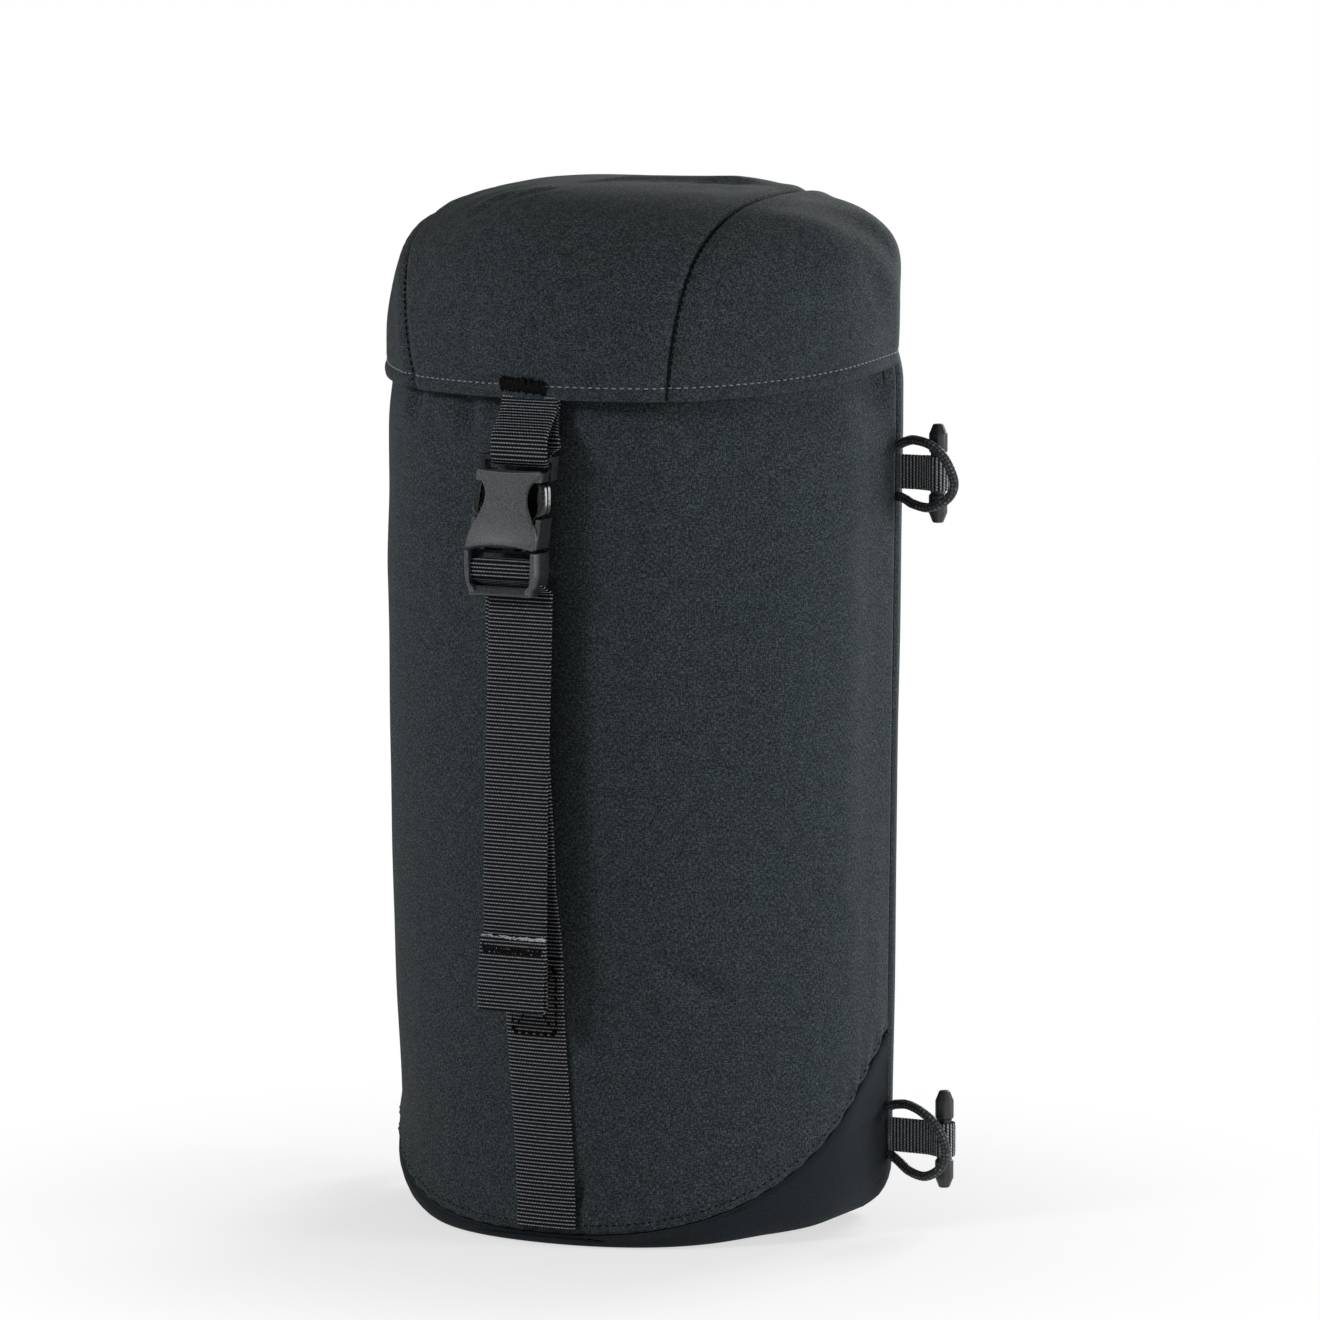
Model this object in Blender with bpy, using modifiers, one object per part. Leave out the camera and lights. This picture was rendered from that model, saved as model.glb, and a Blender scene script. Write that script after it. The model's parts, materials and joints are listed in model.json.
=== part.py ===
"""Strap-on fabric pocket with a domed flap lid, a buckled front strap and four toggle tabs.

Metres, +Z up. The front strap faces -Y, the flat back faces +Y, and the base stands on z = 0.
"""
import math

import bmesh
import bpy
from mathutils import Matrix, Vector

# Body: a D-shaped section, round at the front and flat at the back
BODY_HALF_WIDTH = 0.0778
BODY_DEPTH = 0.1065
FRONT_CURVE_DEPTH = 0.0682
BACK_CORNER_RADIUS = 0.0164
LEAST_CORNER_RADIUS = 0.003
BASE_TAPER = 0.0028
WALL = 0.0016
SEAM_GAP = 0.0004

# Base: a dish whose rim climbs from the front to the back seams
BASE_BAND_HEIGHT = 0.0036
BASE_SEAM_HEIGHT = 0.0584
BASE_RIM_POWER = 1.34
FRONT_EDGE_RADIUS = 0.0032
SIDE_EDGE_RADIUS = 0.0166
EDGE_BLEND_DEPTH = 0.040
EDGE_SHARE_OF_RIM = 0.95
BACK_PANEL_FOOT = 0.024

# Lid: a skirt round the mouth under a crown that stands highest towards the back
HEM_FRONT_HEIGHT = 0.2565
HEM_BACK_RISE = 0.0055
LID_WALL = 0.0014
LID_CLEARANCE = 0.0014
LID_FRONT_SHOULDER = 0.0030
LID_BACK_SHOULDER = 0.0241
LID_CROWN_RISE = 0.0602
LID_CROWN_SHIFT = 0.0277
LID_DOME_POWER = 4.15
LID_CROWN_POWER = 2.15
LID_SEAM_X = 0.0413
LID_SEAM_FLARE = 0.13
HEM_FACING_DEPTH = 0.0060
HINGE_TAPE_DEPTH = 0.018
HINGE_TAPE_THICKNESS = 0.0011
HINGE_STANDOFF = 0.0024

# Mouth under the lid, drawn in, and the tapes that bind it and the inner back seams
MOUTH_RISE = 0.0275
MOUTH_DRAW_IN = 0.0060
TAPE_THICKNESS = 0.0006
TAPE_GAP = 0.0003
MOUTH_TAPE_DEPTH = 0.010
SEAM_TAPE_WIDTH = 0.012

# Webbing of the front strap
WEB_WIDTH = 0.020
WEB_THICKNESS = 0.0013
WEB_GAP = 0.0003
ANCHOR_FOOT = 0.0055
ANCHOR_LENGTH = 0.0825
TAIL_LENGTH = 0.1272
TAIL_FOLD_LENGTH = 0.0221
TAIL_BULGE = 0.0012
LID_TACK_WIDTH = 0.0155
TAIL_TACK_WIDTH = 0.0174
BAR_TACK_HEIGHT = 0.0040
BAR_TACK_THICKNESS = 0.0008

# Side release buckle that closes the strap
BUCKLE_STANDOFF = 0.0080
BUCKLE_DROP = 0.0443
BUCKLE_WIDTH = 0.0255
BUCKLE_WAIST = 0.0150
SOCKET_LENGTH = 0.0279
SOCKET_THICKNESS = 0.0084
SOCKET_CAVITY_DEPTH = 0.0192
SOCKET_CAVITY_WIDTH = 0.0212
SOCKET_CAVITY_THICKNESS = 0.0044
SOCKET_FLARE_FOOT = 0.0055
SOCKET_WINDOW_FOOT = 0.0080
SOCKET_SLOT_HEIGHT = 0.0032
SOCKET_CORNER = 0.0020
STRAP_BAR_HEIGHT = 0.0040
STRAP_BAR_THICKNESS = 0.0036
WEB_SIDE_PLAY = 0.0005
PLUG_LENGTH = 0.0144
PLUG_THICKNESS = 0.0076
PLUG_CORNER = 0.0025
PLUG_HEAD = 0.0024
PLUG_UPPER_SLOT = 0.0028
PLUG_LOWER_SLOT = 0.0036
PLUG_MIDDLE_BAR = 0.0024
PLUG_BAR_THICKNESS = 0.0028
GUIDE_WIDTH = 0.0040
GUIDE_TIP_WIDTH = 0.0028
GUIDE_LENGTH = 0.0120
PRONG_LENGTH = 0.0182
PRONG_THICKNESS = 0.0036
PRONG_ROOT_X = 0.0078
PRONG_ROOT_WIDTH = 0.0022
PRONG_TIP_WIDTH = 0.0026
PRONG_RAIL_PLAY = 0.0008
CATCH_PROUD = 0.0008
PAD_LENGTH = 0.0062
PAD_WIDTH = 0.0032
PRONG_TIP_X = 0.0092
SPLIT_GAP = 0.0004

# Toggle tabs sewn into the two back seams; the reach runs from the seam to the toggle's middle
TAB_UPPER_HEIGHT = 0.2298
TAB_UPPER_REACH = 0.0136
TAB_LOWER_HEIGHT = 0.0257
TAB_LOWER_REACH = 0.0190
TAB_WIDTH = 0.0104
TAB_THICKNESS = 0.0007
TAB_LAYER_GAP = 0.0002
TAB_ROOT_GAP = 0.0009
TAB_THROAT_ANGLE = 40.0
TAB_NECK_LENGTH = 0.0060
LEFT_TAB_TURN = 48.0
TOGGLE_LENGTH = 0.030
TOGGLE_RADIUS = 0.00285
TOGGLE_WAIST_RADIUS = 0.0023
TOGGLE_WAIST_LENGTH = 0.0122
TOGGLE_TIP_RADIUS = 0.0016
TOGGLE_TIP_LENGTH = 0.0026
TOGGLE_PLAY = 0.0004
CORD_DIAMETER = 0.0030
CORD_STEPS = 3

# Routes of the cord loops, measured from the seam: outwards, forwards (negative) and up
UPPER_CORD_ROUTE = [
    (0.0009, 0.0000, 0.0083),
    (0.0034, -0.0010, 0.0093),
    (0.0074, -0.0033, 0.0101),
    (0.0138, -0.0053, 0.0089),
    (0.0184, -0.0052, 0.0048),
    (0.0211, -0.0047, -0.0020),
    (0.0192, -0.0050, -0.0069),
    (0.0134, -0.0053, -0.0099),
    (0.0070, -0.0033, -0.0094),
    (0.0034, -0.0010, -0.0084),
    (0.0009, 0.0000, -0.0077),
]
LOWER_CORD_ROUTE = [
    (0.0009, 0.0000, 0.0088),
    (0.0036, -0.0010, 0.0096),
    (0.0086, -0.0033, 0.0101),
    (0.0148, -0.0054, 0.0082),
    (0.0196, -0.0057, 0.0040),
    (0.0220, -0.0056, -0.0020),
    (0.0206, -0.0056, -0.0076),
    (0.0154, -0.0054, -0.0110),
    (0.0090, -0.0033, -0.0104),
    (0.0040, -0.0010, -0.0080),
    (0.0009, 0.0000, -0.0064),
]

# Worked-out places
FRONT_Y = -BODY_DEPTH / 2
BACK_Y = BODY_DEPTH / 2
WIDEST_Y = FRONT_Y + FRONT_CURVE_DEPTH
SEAM_Y = BACK_Y - BACK_CORNER_RADIUS
HEM_BACK_HEIGHT = HEM_FRONT_HEIGHT + HEM_BACK_RISE
MOUTH_HEIGHT = HEM_FRONT_HEIGHT + MOUTH_RISE
LID_TOP_HEIGHT = HEM_FRONT_HEIGHT + LID_CROWN_RISE
LID_OFFSET = LID_CLEARANCE + LID_WALL
HINGE_Y = BACK_Y + HINGE_STANDOFF
HINGE_TAPE_TOP = HEM_BACK_HEIGHT - SEAM_GAP
HINGE_TAPE_FOOT = HINGE_TAPE_TOP - HINGE_TAPE_DEPTH
TAPER_TOP = HINGE_TAPE_FOOT - SEAM_GAP
ANCHOR_TOP = ANCHOR_FOOT + ANCHOR_LENGTH
BUCKLE_Y = FRONT_Y - BUCKLE_STANDOFF
SPLIT_Z = HEM_FRONT_HEIGHT - BUCKLE_DROP
PLUG_TOP = SPLIT_Z - SPLIT_GAP
SOCKET_TOP = SPLIT_Z + SOCKET_LENGTH
WEB_SEAT = WEB_GAP + WEB_THICKNESS / 2

# Counts of segments
FRONT_SEGMENTS = 22
SIDE_SEGMENTS = 3
CORNER_SEGMENTS = 4
BACK_SEGMENTS = 3
BEND_SEGMENTS = 4
RIM_SEGMENTS = 2
WALL_SEGMENTS = 4
WAIST_SEGMENTS = 12
STRAP_SEGMENTS = 8
LOOP_SEGMENTS = 12
TURN_SEGMENTS = 16
CROWN_SCALES = (0.995, 0.98, 0.955, 0.91, 0.84, 0.74, 0.6, 0.42, 0.2)
LEAST_STEP = 0.02

PARTS = None
CUTTERS = None


def clear_scene():
    for obj in list(bpy.data.objects):
        bpy.data.objects.remove(obj, do_unlink=True)


def new_collection(name):
    collection = bpy.data.collections.new(name)
    bpy.context.scene.collection.children.link(collection)
    return collection


def linear(value):
    return value / 12.92 if value <= 0.04045 else ((value + 0.055) / 1.055) ** 2.4


def material(name, red, green, blue, roughness, metallic=0.0):
    """A plain Principled material; the colour is given in sRGB from 0 to 255."""
    result = bpy.data.materials.get(name)
    if result is None:
        result = bpy.data.materials.new(name)
        result.use_nodes = True
        shader = result.node_tree.nodes["Principled BSDF"]
        colour = [linear(part / 255) for part in (red, green, blue)]
        shader.inputs["Base Color"].default_value = (*colour, 1.0)
        shader.inputs["Roughness"].default_value = roughness
        shader.inputs["Metallic"].default_value = metallic
    return result


def body_fabric():
    return material("body_fabric", 54, 60, 62, 0.85)


def base_fabric():
    return material("base_fabric", 36, 40, 43, 0.85)


def webbing():
    return material("webbing", 40, 42, 45, 0.75)


def moulded_plastic():
    return material("moulded_plastic", 30, 31, 33, 0.45)


def elastic_cord():
    return material("elastic_cord", 34, 35, 37, 0.7)


def thread():
    return material("bar_tack_thread", 14, 14, 15, 0.7)


def add_object(name, mesh, finish):
    obj = bpy.data.objects.new(name, mesh)
    PARTS.objects.link(obj)
    mesh.materials.clear()
    mesh.materials.append(finish)
    mesh.shade_smooth()
    mesh.set_sharp_from_angle(angle=math.radians(35))
    return obj


def joint_empty(name, place, parent=None):
    """An empty on a joint's axis; the pieces that move about it hang from it."""
    empty = bpy.data.objects.new(name, None)
    empty.empty_display_size = 0.01
    PARTS.objects.link(empty)
    empty.location = place
    if parent is not None:
        empty.parent = parent
        empty.location = Vector(place) - parent_place(parent)
    return empty


def parent_place(empty):
    place = Vector((0.0, 0.0, 0.0))
    while empty is not None:
        place += empty.location
        empty = empty.parent
    return place


def hang(empty, *objects):
    """Parent objects to an empty and leave them where they are."""
    for obj in objects:
        obj.parent = empty
        obj.matrix_parent_inverse = Matrix.Translation(-parent_place(empty))


def sheet(name, rows, thickness, finish, offset=-1.0, closed=False, cap_first=False, cap_last=False):
    """A lofted open surface through rows of points, thickened by Solidify.

    Rows run along the piece and their points across it, so that (across, along) faces out.
    """
    mesh = bpy.data.meshes.new(name)
    loft(mesh, rows, closed, cap_first, cap_last)
    obj = add_object(name, mesh, finish)
    thicken(obj, thickness, offset)
    return obj


def loft(mesh, rows, closed=False, cap_first=False, cap_last=False):
    bm = bmesh.new()
    grid = [[bm.verts.new(point) for point in row] for row in rows]
    for low, high in zip(grid, grid[1:]):
        count = len(low)
        for i in range(count if closed else count - 1):
            j = (i + 1) % count
            bm.faces.new((low[i], low[j], high[j], high[i]))
    if cap_first:
        bm.faces.new(list(reversed(grid[0])))
    if cap_last:
        bm.faces.new(grid[-1])
    bm.to_mesh(mesh)
    bm.free()


def thicken(obj, thickness, offset=-1.0):
    solid = obj.modifiers.new("thickness", "SOLIDIFY")
    solid.thickness = thickness
    solid.offset = offset
    solid.use_even_offset = True
    return solid


def spread(start, end, count):
    return [start + (end - start) * i / count for i in range(count + 1)]


def smooth(value):
    value = min(max(value, 0.0), 1.0)
    return value * value * (3 - 2 * value)


def outline(s, inset=0.0):
    """Point of the D-shaped section; s runs from -4 to 4 round the section.

    0 is the front centre, 1 the widest line, 2 the back seam, 3 the end of the corner
    and 4 the middle of the back. Negative values mirror to -X.
    """
    t = abs(s)
    side = 1.0 if s >= 0 else -1.0
    half = BODY_HALF_WIDTH - inset
    radius = max(BACK_CORNER_RADIUS - inset, LEAST_CORNER_RADIUS)
    corner_x = half - radius
    corner_y = BACK_Y - inset - radius
    if t <= 1:
        angle = t * math.pi / 2
        x = half * math.sin(angle)
        y = WIDEST_Y - (FRONT_CURVE_DEPTH - inset) * math.cos(angle)
    elif t <= 2:
        x = half
        y = WIDEST_Y + (t - 1) * (corner_y - WIDEST_Y)
    elif t <= 3:
        angle = (t - 2) * math.pi / 2
        x = corner_x + radius * math.cos(angle)
        y = corner_y + radius * math.sin(angle)
    else:
        x = corner_x * (4 - t)
        y = BACK_Y - inset
    return Vector((side * x, y))


def ring_values(limit=4.0):
    """Values of s across the section, from -limit to limit, with the right spacing for each stretch."""
    half = spread(0.0, 1.0, FRONT_SEGMENTS // 2)
    for start, count in ((1.0, SIDE_SEGMENTS), (2.0, CORNER_SEGMENTS), (3.0, BACK_SEGMENTS)):
        half += spread(start, start + 1.0, count)[1:]
    half = [s for s in half if s < limit - LEAST_STEP] + [limit]
    return [-s for s in reversed(half)] + half[1:]


def closed_ring():
    return ring_values()[1:]


def shape_inset(z):
    """How far the wall lies inside the full section: the base taper and the drawn-in mouth."""
    taper = BASE_TAPER * (1 - min(z / TAPER_TOP, 1.0))
    mouth = MOUTH_DRAW_IN * smooth((z - HEM_FRONT_HEIGHT) / (MOUTH_HEIGHT - HEM_FRONT_HEIGHT))
    return taper + mouth


def wall_point(s, z, inset=0.0):
    x, y = outline(s, shape_inset(z) + inset)
    return Vector((x, y, z))


def side_x(z):
    return BODY_HALF_WIDTH - shape_inset(z)


def front_y(z):
    return FRONT_Y + shape_inset(z)


def rim_height(s):
    """Height of the base panel's rim: it climbs to the back seams and is low across the back."""
    if abs(s) >= 2:
        return BACK_PANEL_FOOT
    share = max(outline(s)[1] - FRONT_Y, 0.0) / (SEAM_Y - FRONT_Y)
    return BASE_BAND_HEIGHT + (BASE_SEAM_HEIGHT - BASE_BAND_HEIGHT) * share ** BASE_RIM_POWER


def edge_radius(s):
    """Radius of the base's rounded edge: tight at the front, wider round the sides and back."""
    behind = outline(s)[1] - FRONT_Y
    radius = FRONT_EDGE_RADIUS + (SIDE_EDGE_RADIUS - FRONT_EDGE_RADIUS) * smooth(behind / EDGE_BLEND_DEPTH)
    return min(radius, EDGE_SHARE_OF_RIM * rim_height(s))


def seam_step():
    """The share of the side and of the corner that half a seam gap takes."""
    return SEAM_GAP / 2 / (SEAM_Y - WIDEST_Y), SEAM_GAP / 2 / (BACK_CORNER_RADIUS * math.pi / 2)


def hem_height(y):
    return HEM_FRONT_HEIGHT + (HEM_BACK_HEIGHT - HEM_FRONT_HEIGHT) * smooth((y - FRONT_Y) / BODY_DEPTH)


def build_base_panel():
    side_step = seam_step()[0]
    values = []
    for s in closed_ring():
        if abs(abs(s) - 2) < 1e-6:
            edge = [math.copysign(2 - side_step, s), s]
            values += edge if s > 0 else reversed(edge)
        else:
            values.append(s)
    columns = []
    for s in values:
        radius = edge_radius(s)
        column = []
        for angle in spread(0.0, math.pi / 2, BEND_SEGMENTS):
            z = radius * (1 - math.cos(angle))
            column.append(wall_point(s, z, radius * (1 - math.sin(angle))))
        for z in spread(radius, rim_height(s), RIM_SEGMENTS)[1:]:
            column.append(wall_point(s, z))
        columns.append(column)
    rows = list(zip(*columns))
    return sheet("base_panel", rows, WALL, base_fabric(), closed=True, cap_first=True)


def panel_heights(foot):
    """Heights of a panel's rows: even up to the hinge tape, then closer round the drawn-in mouth."""
    binding_foot = MOUTH_HEIGHT - MOUTH_TAPE_DEPTH
    heights = spread(foot, TAPER_TOP, WALL_SEGMENTS) + [HEM_FRONT_HEIGHT]
    return heights + [(HEM_FRONT_HEIGHT + binding_foot) / 2, binding_foot, MOUTH_HEIGHT]


def build_front_panel():
    values = ring_values(2 - seam_step()[0])
    columns = [[wall_point(s, z) for z in panel_heights(rim_height(s) + SEAM_GAP)] for s in values]
    return sheet("front_panel", list(zip(*columns)), WALL, body_fabric())


def back_values():
    half = [2 + seam_step()[1] * 2]
    half += spread(2.0, 3.0, CORNER_SEGMENTS)[1:]
    half += spread(3.0, 4.0, BACK_SEGMENTS)[1:]
    return half + [-s for s in reversed(half)][1:]


def build_back_panel():
    rows = []
    for z in panel_heights(BACK_PANEL_FOOT + SEAM_GAP):
        rows.append([wall_point(s, z) for s in back_values()])
    return sheet("back_panel", rows, WALL, body_fabric())


def build_mouth_binding():
    """Tape folded over the mouth's edge: down the outside, over the top and down the inside."""
    seat = TAPE_GAP + TAPE_THICKNESS / 2
    low = MOUTH_HEIGHT - MOUTH_TAPE_DEPTH
    top = MOUTH_HEIGHT + seat
    places = [(low, -seat), (top, -seat), (top, WALL + seat), (low, WALL + seat)]
    rows = []
    for z, inset in places:
        level = min(z, MOUTH_HEIGHT)
        row = [wall_point(s, level, inset) for s in closed_ring()]
        rows.append([Vector((p.x, p.y, z)) for p in row])
    return sheet("mouth_binding", rows, TAPE_THICKNESS, webbing(), offset=0.0, closed=True)


def build_seam_tape(name, side):
    """Binding on the inside of a back seam, from the base's bend to the mouth binding."""
    half = SEAM_TAPE_WIDTH / 2
    corner = BACK_CORNER_RADIUS - WALL
    edges = [2 - half / (SEAM_Y - WIDEST_Y), 2.0]
    edges += spread(2.0, 2 + half / (corner * math.pi / 2), 3)[1:]
    values = [s * side for s in edges]
    if side < 0:
        values.reverse()
    rows = []
    for z in panel_heights(BACK_PANEL_FOOT + SEAM_GAP)[:-1]:
        rows.append([wall_point(s, z - SEAM_GAP, WALL + TAPE_GAP) for s in values])
    return sheet(name, rows, TAPE_THICKNESS, webbing())


def build_hinge_tape():
    """Strip sewn on the back panel, which the lid turns on."""
    y = BACK_Y + TAPE_GAP + HINGE_TAPE_THICKNESS
    half = spread(3.0, 4.0, BACK_SEGMENTS)
    values = half + [-s for s in reversed(half)][1:]
    rows = []
    for z in (HINGE_TAPE_FOOT, HINGE_TAPE_TOP):
        rows.append([Vector((outline(s)[0], y, z)) for s in values])
    return sheet("lid_hinge_tape", rows, HINGE_TAPE_THICKNESS, webbing())


def shoulder_height(y):
    """Where the lid's skirt turns over into the crown: low at the front, higher at the back."""
    rise = LID_FRONT_SHOULDER + (LID_BACK_SHOULDER - LID_FRONT_SHOULDER) * smooth((y - FRONT_Y) / BODY_DEPTH)
    return HEM_FRONT_HEIGHT + rise


def lid_rows():
    """Rings of the lid's outer face, from the hem up to the crown."""
    ring = [outline(s, -LID_OFFSET) for s in closed_ring()]
    crown = Vector((0.0, LID_CROWN_SHIFT))
    rows = []
    for share in (0.0, 0.5, 1.0):
        row = []
        for place in ring:
            hem = hem_height(place.y)
            row.append(Vector((*place, hem + share * (shoulder_height(place.y) - hem))))
        rows.append(row)
    for scale in CROWN_SCALES:
        share = (1 - scale ** LID_DOME_POWER) ** (1 / LID_CROWN_POWER)
        row = []
        for place in ring:
            shoulder = shoulder_height(place.y)
            flat = crown + scale * (place - crown)
            row.append(Vector((*flat, shoulder + share * (LID_TOP_HEIGHT - shoulder))))
        rows.append(row)
    return rows


def build_lid_panel(name, low_x, high_x):
    """The part of the dome between two seams, which lean apart upwards; None leaves a side whole."""
    mesh = bpy.data.meshes.new(name)
    loft(mesh, lid_rows(), closed=True, cap_last=True)
    bm = bmesh.new()
    bm.from_mesh(mesh)
    for x, keep in ((low_x, 1.0), (high_x, -1.0)):
        if x is None:
            continue
        geometry = bm.verts[:] + bm.edges[:] + bm.faces[:]
        lean = -math.copysign(LID_SEAM_FLARE, x) * keep
        bmesh.ops.bisect_plane(bm, geom=geometry, dist=1e-7, plane_co=(x, 0, HEM_FRONT_HEIGHT),
                               plane_no=(keep, 0, lean), clear_inner=True)
    bm.to_mesh(mesh)
    bm.free()
    obj = add_object(name, mesh, body_fabric())
    thicken(obj, LID_WALL)
    return obj


def build_hem_facing():
    """Turned-in hem inside the skirt, all the way round but for the hinge."""
    values = ring_values(2.0)
    outside = -(LID_CLEARANCE - TAPE_GAP)
    rows = []
    for rise in (SEAM_GAP, HEM_FACING_DEPTH):
        row = []
        for s in values:
            x, y = outline(s, outside)
            row.append(Vector((x, y, hem_height(outline(s, -LID_OFFSET)[1]) + rise)))
        rows.append(row)
    return sheet("lid_hem_facing", rows, TAPE_THICKNESS, webbing())


def box_solid(name, centre, size, finish):
    mesh = bpy.data.meshes.new(name)
    bm = bmesh.new()
    bmesh.ops.create_cube(bm, size=1.0)
    bmesh.ops.scale(bm, vec=size, verts=bm.verts)
    bmesh.ops.translate(bm, vec=centre, verts=bm.verts)
    bm.to_mesh(mesh)
    bm.free()
    return add_object(name, mesh, finish)


def build_lid_bar_tack():
    """Raised block of thread that holds the strap to the hem."""
    thickness = BAR_TACK_THICKNESS
    y = FRONT_Y - LID_OFFSET - WEB_GAP - thickness / 2
    z = HEM_FRONT_HEIGHT + BAR_TACK_HEIGHT
    size = (LID_TACK_WIDTH, thickness, BAR_TACK_HEIGHT)
    return box_solid("lid_bar_tack", (0.0, y, z), size, thread())


def strap(name, path, width=WEB_WIDTH, finish=None):
    """A flat band: the path gives its middle line in Y and Z, and the width lies along X."""
    rows = []
    for y, z in path:
        rows.append([Vector((-width / 2, y, z)), Vector((width / 2, y, z))])
    return sheet(name, rows, WEB_THICKNESS, finish or webbing(), offset=0.0)


def corner_bend(y, z, start, end):
    """Points of a band's middle line round a bar's corner; degrees from +Y towards +Z."""
    points = []
    for angle in spread(math.radians(start), math.radians(end), CORNER_SEGMENTS - 1):
        points.append((y + WEB_SEAT * math.cos(angle), z + WEB_SEAT * math.sin(angle)))
    return points


def build_anchor_strap():
    """The sewn-down length of the strap, laid on the front panel from the base seam."""
    half = WEB_WIDTH / 2
    rows = []
    for z in spread(ANCHOR_FOOT, ANCHOR_TOP, WALL_SEGMENTS):
        row = []
        for x in spread(-half, half, WALL_SEGMENTS):
            angle = math.asin(x / side_x(z))
            depth = FRONT_CURVE_DEPTH - shape_inset(z)
            row.append(Vector((x, WIDEST_Y - depth * math.cos(angle) - WEB_GAP - WEB_THICKNESS, z)))
        rows.append(row)
    return sheet("anchor_strap", rows, WEB_THICKNESS, webbing())


def riser_y():
    """Where the standing strap passes behind the plug's bars."""
    return BUCKLE_Y + PLUG_BAR_THICKNESS / 2 + WEB_SEAT


def middle_bar():
    """Lower and upper edge of the plug's middle bar."""
    top = PLUG_TOP - PLUG_HEAD - PLUG_UPPER_SLOT
    return top - PLUG_MIDDLE_BAR, top


def end_bar_top():
    return middle_bar()[0] - PLUG_LOWER_SLOT


def tail_y():
    """Where the tail passes behind the plug's end bar, in front of the standing strap."""
    return riser_y() - WEB_THICKNESS - 2 * WEB_GAP


def build_strap_riser():
    """The standing part of the strap, from the sewn length up to the plug."""
    foot_y = front_y(ANCHOR_TOP) - WEB_SEAT
    foot_z = ANCHOR_TOP + SEAM_GAP
    top_z = middle_bar()[0] - WEB_THICKNESS
    path = []
    for share in spread(0.0, 1.0, STRAP_SEGMENTS):
        y = foot_y + (riser_y() - foot_y) * smooth(share)
        path.append((y, foot_z + share * (top_z - foot_z)))
    return strap("strap_riser", path)


def tail_end():
    return end_bar_top() - TAIL_LENGTH


def tail_line(z):
    """Middle line of the hanging tail: it bows a little away from the body."""
    share = (end_bar_top() - z) / TAIL_LENGTH
    return tail_y() - TAIL_BULGE * math.sin(math.pi * min(max(share, 0.0), 1.0))


def build_strap_tail():
    """The strap over the plug's middle bar, down behind its end bar and on to its loose end."""
    low, high = middle_bar()
    front = BUCKLE_Y - PLUG_BAR_THICKNESS / 2
    back = BUCKLE_Y + PLUG_BAR_THICKNESS / 2
    path = [(riser_y(), low - WEB_THICKNESS + SEAM_GAP)]
    path += corner_bend(back, high, 0, 90)
    path += corner_bend(front, high, 90, 180)
    path += corner_bend(front, low, 180, 235)
    path.append((tail_y(), end_bar_top() + WEB_GAP))
    for z in spread(end_bar_top(), tail_end(), STRAP_SEGMENTS)[1:]:
        path.append((tail_line(z), z))
    return strap("strap_tail", path)


def build_tail_fold():
    """The end of the tail turned up on its front."""
    path = []
    for z in spread(tail_end(), tail_end() + TAIL_FOLD_LENGTH, WALL_SEGMENTS):
        path.append((tail_line(z) - WEB_THICKNESS - WEB_GAP, z))
    return strap("strap_tail_fold", path)


def build_tail_bar_tack():
    """Raised block of thread near the top of the folded end."""
    z = tail_end() + TAIL_FOLD_LENGTH - BAR_TACK_HEIGHT
    fold_front = tail_line(z) - WEB_THICKNESS - WEB_GAP - WEB_THICKNESS / 2
    y = fold_front - 2 * WEB_GAP - BAR_TACK_THICKNESS / 2
    size = (TAIL_TACK_WIDTH, BAR_TACK_THICKNESS, BAR_TACK_HEIGHT)
    return box_solid("tail_bar_tack", (0.0, y, z), size, thread())


def build_lid_strap():
    """The strap doubled through the socket's bar; both ends are sewn under the hem."""
    front = BUCKLE_Y - STRAP_BAR_THICKNESS / 2
    back = BUCKLE_Y + STRAP_BAR_THICKNESS / 2
    bar_foot = SOCKET_TOP - STRAP_BAR_HEIGHT
    clear_z = SOCKET_TOP + STRAP_BAR_HEIGHT / 2
    hem_z = HEM_FRONT_HEIGHT - SEAM_GAP
    hem_y = FRONT_Y - LID_OFFSET / 2
    apart = WEB_THICKNESS / 2 + WEB_GAP / 2
    path = [(hem_y - apart, hem_z), (front - WEB_SEAT, clear_z)]
    path += corner_bend(front, bar_foot, 180, 270)
    path += corner_bend(back, bar_foot, 270, 360)
    path += [(back + WEB_SEAT, clear_z), (hem_y + apart, hem_z)]
    return strap("lid_strap", path)


def outline_solid(name, points, thickness, finish):
    """A flat outline in X and Z, extruded along Y about the buckle's middle plane."""
    curve = bpy.data.curves.new(name + "_outline", "CURVE")
    curve.dimensions = "2D"
    curve.fill_mode = "BOTH"
    curve.extrude = thickness / 2
    spline = curve.splines.new("POLY")
    spline.points.add(len(points) - 1)
    for point, (x, z) in zip(spline.points, points):
        point.co = (x, z, 0.0, 1.0)
    spline.use_cyclic_u = True
    source = bpy.data.objects.new(name + "_outline", curve)
    PARTS.objects.link(source)
    bpy.context.view_layer.update()
    evaluated = source.evaluated_get(bpy.context.evaluated_depsgraph_get())
    mesh = bpy.data.meshes.new_from_object(evaluated)
    bpy.data.objects.remove(source, do_unlink=True)
    bpy.data.curves.remove(curve)
    mesh.name = name
    bm = bmesh.new()
    bm.from_mesh(mesh)
    bmesh.ops.remove_doubles(bm, verts=bm.verts, dist=1e-6)
    upright = Matrix.Translation((0.0, BUCKLE_Y, 0.0)) @ Matrix.Rotation(math.pi / 2, 4, "X")
    bmesh.ops.transform(bm, matrix=upright, verts=bm.verts)
    bmesh.ops.recalc_face_normals(bm, faces=bm.faces)
    bm.to_mesh(mesh)
    bm.free()
    return add_object(name, mesh, finish)


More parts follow.
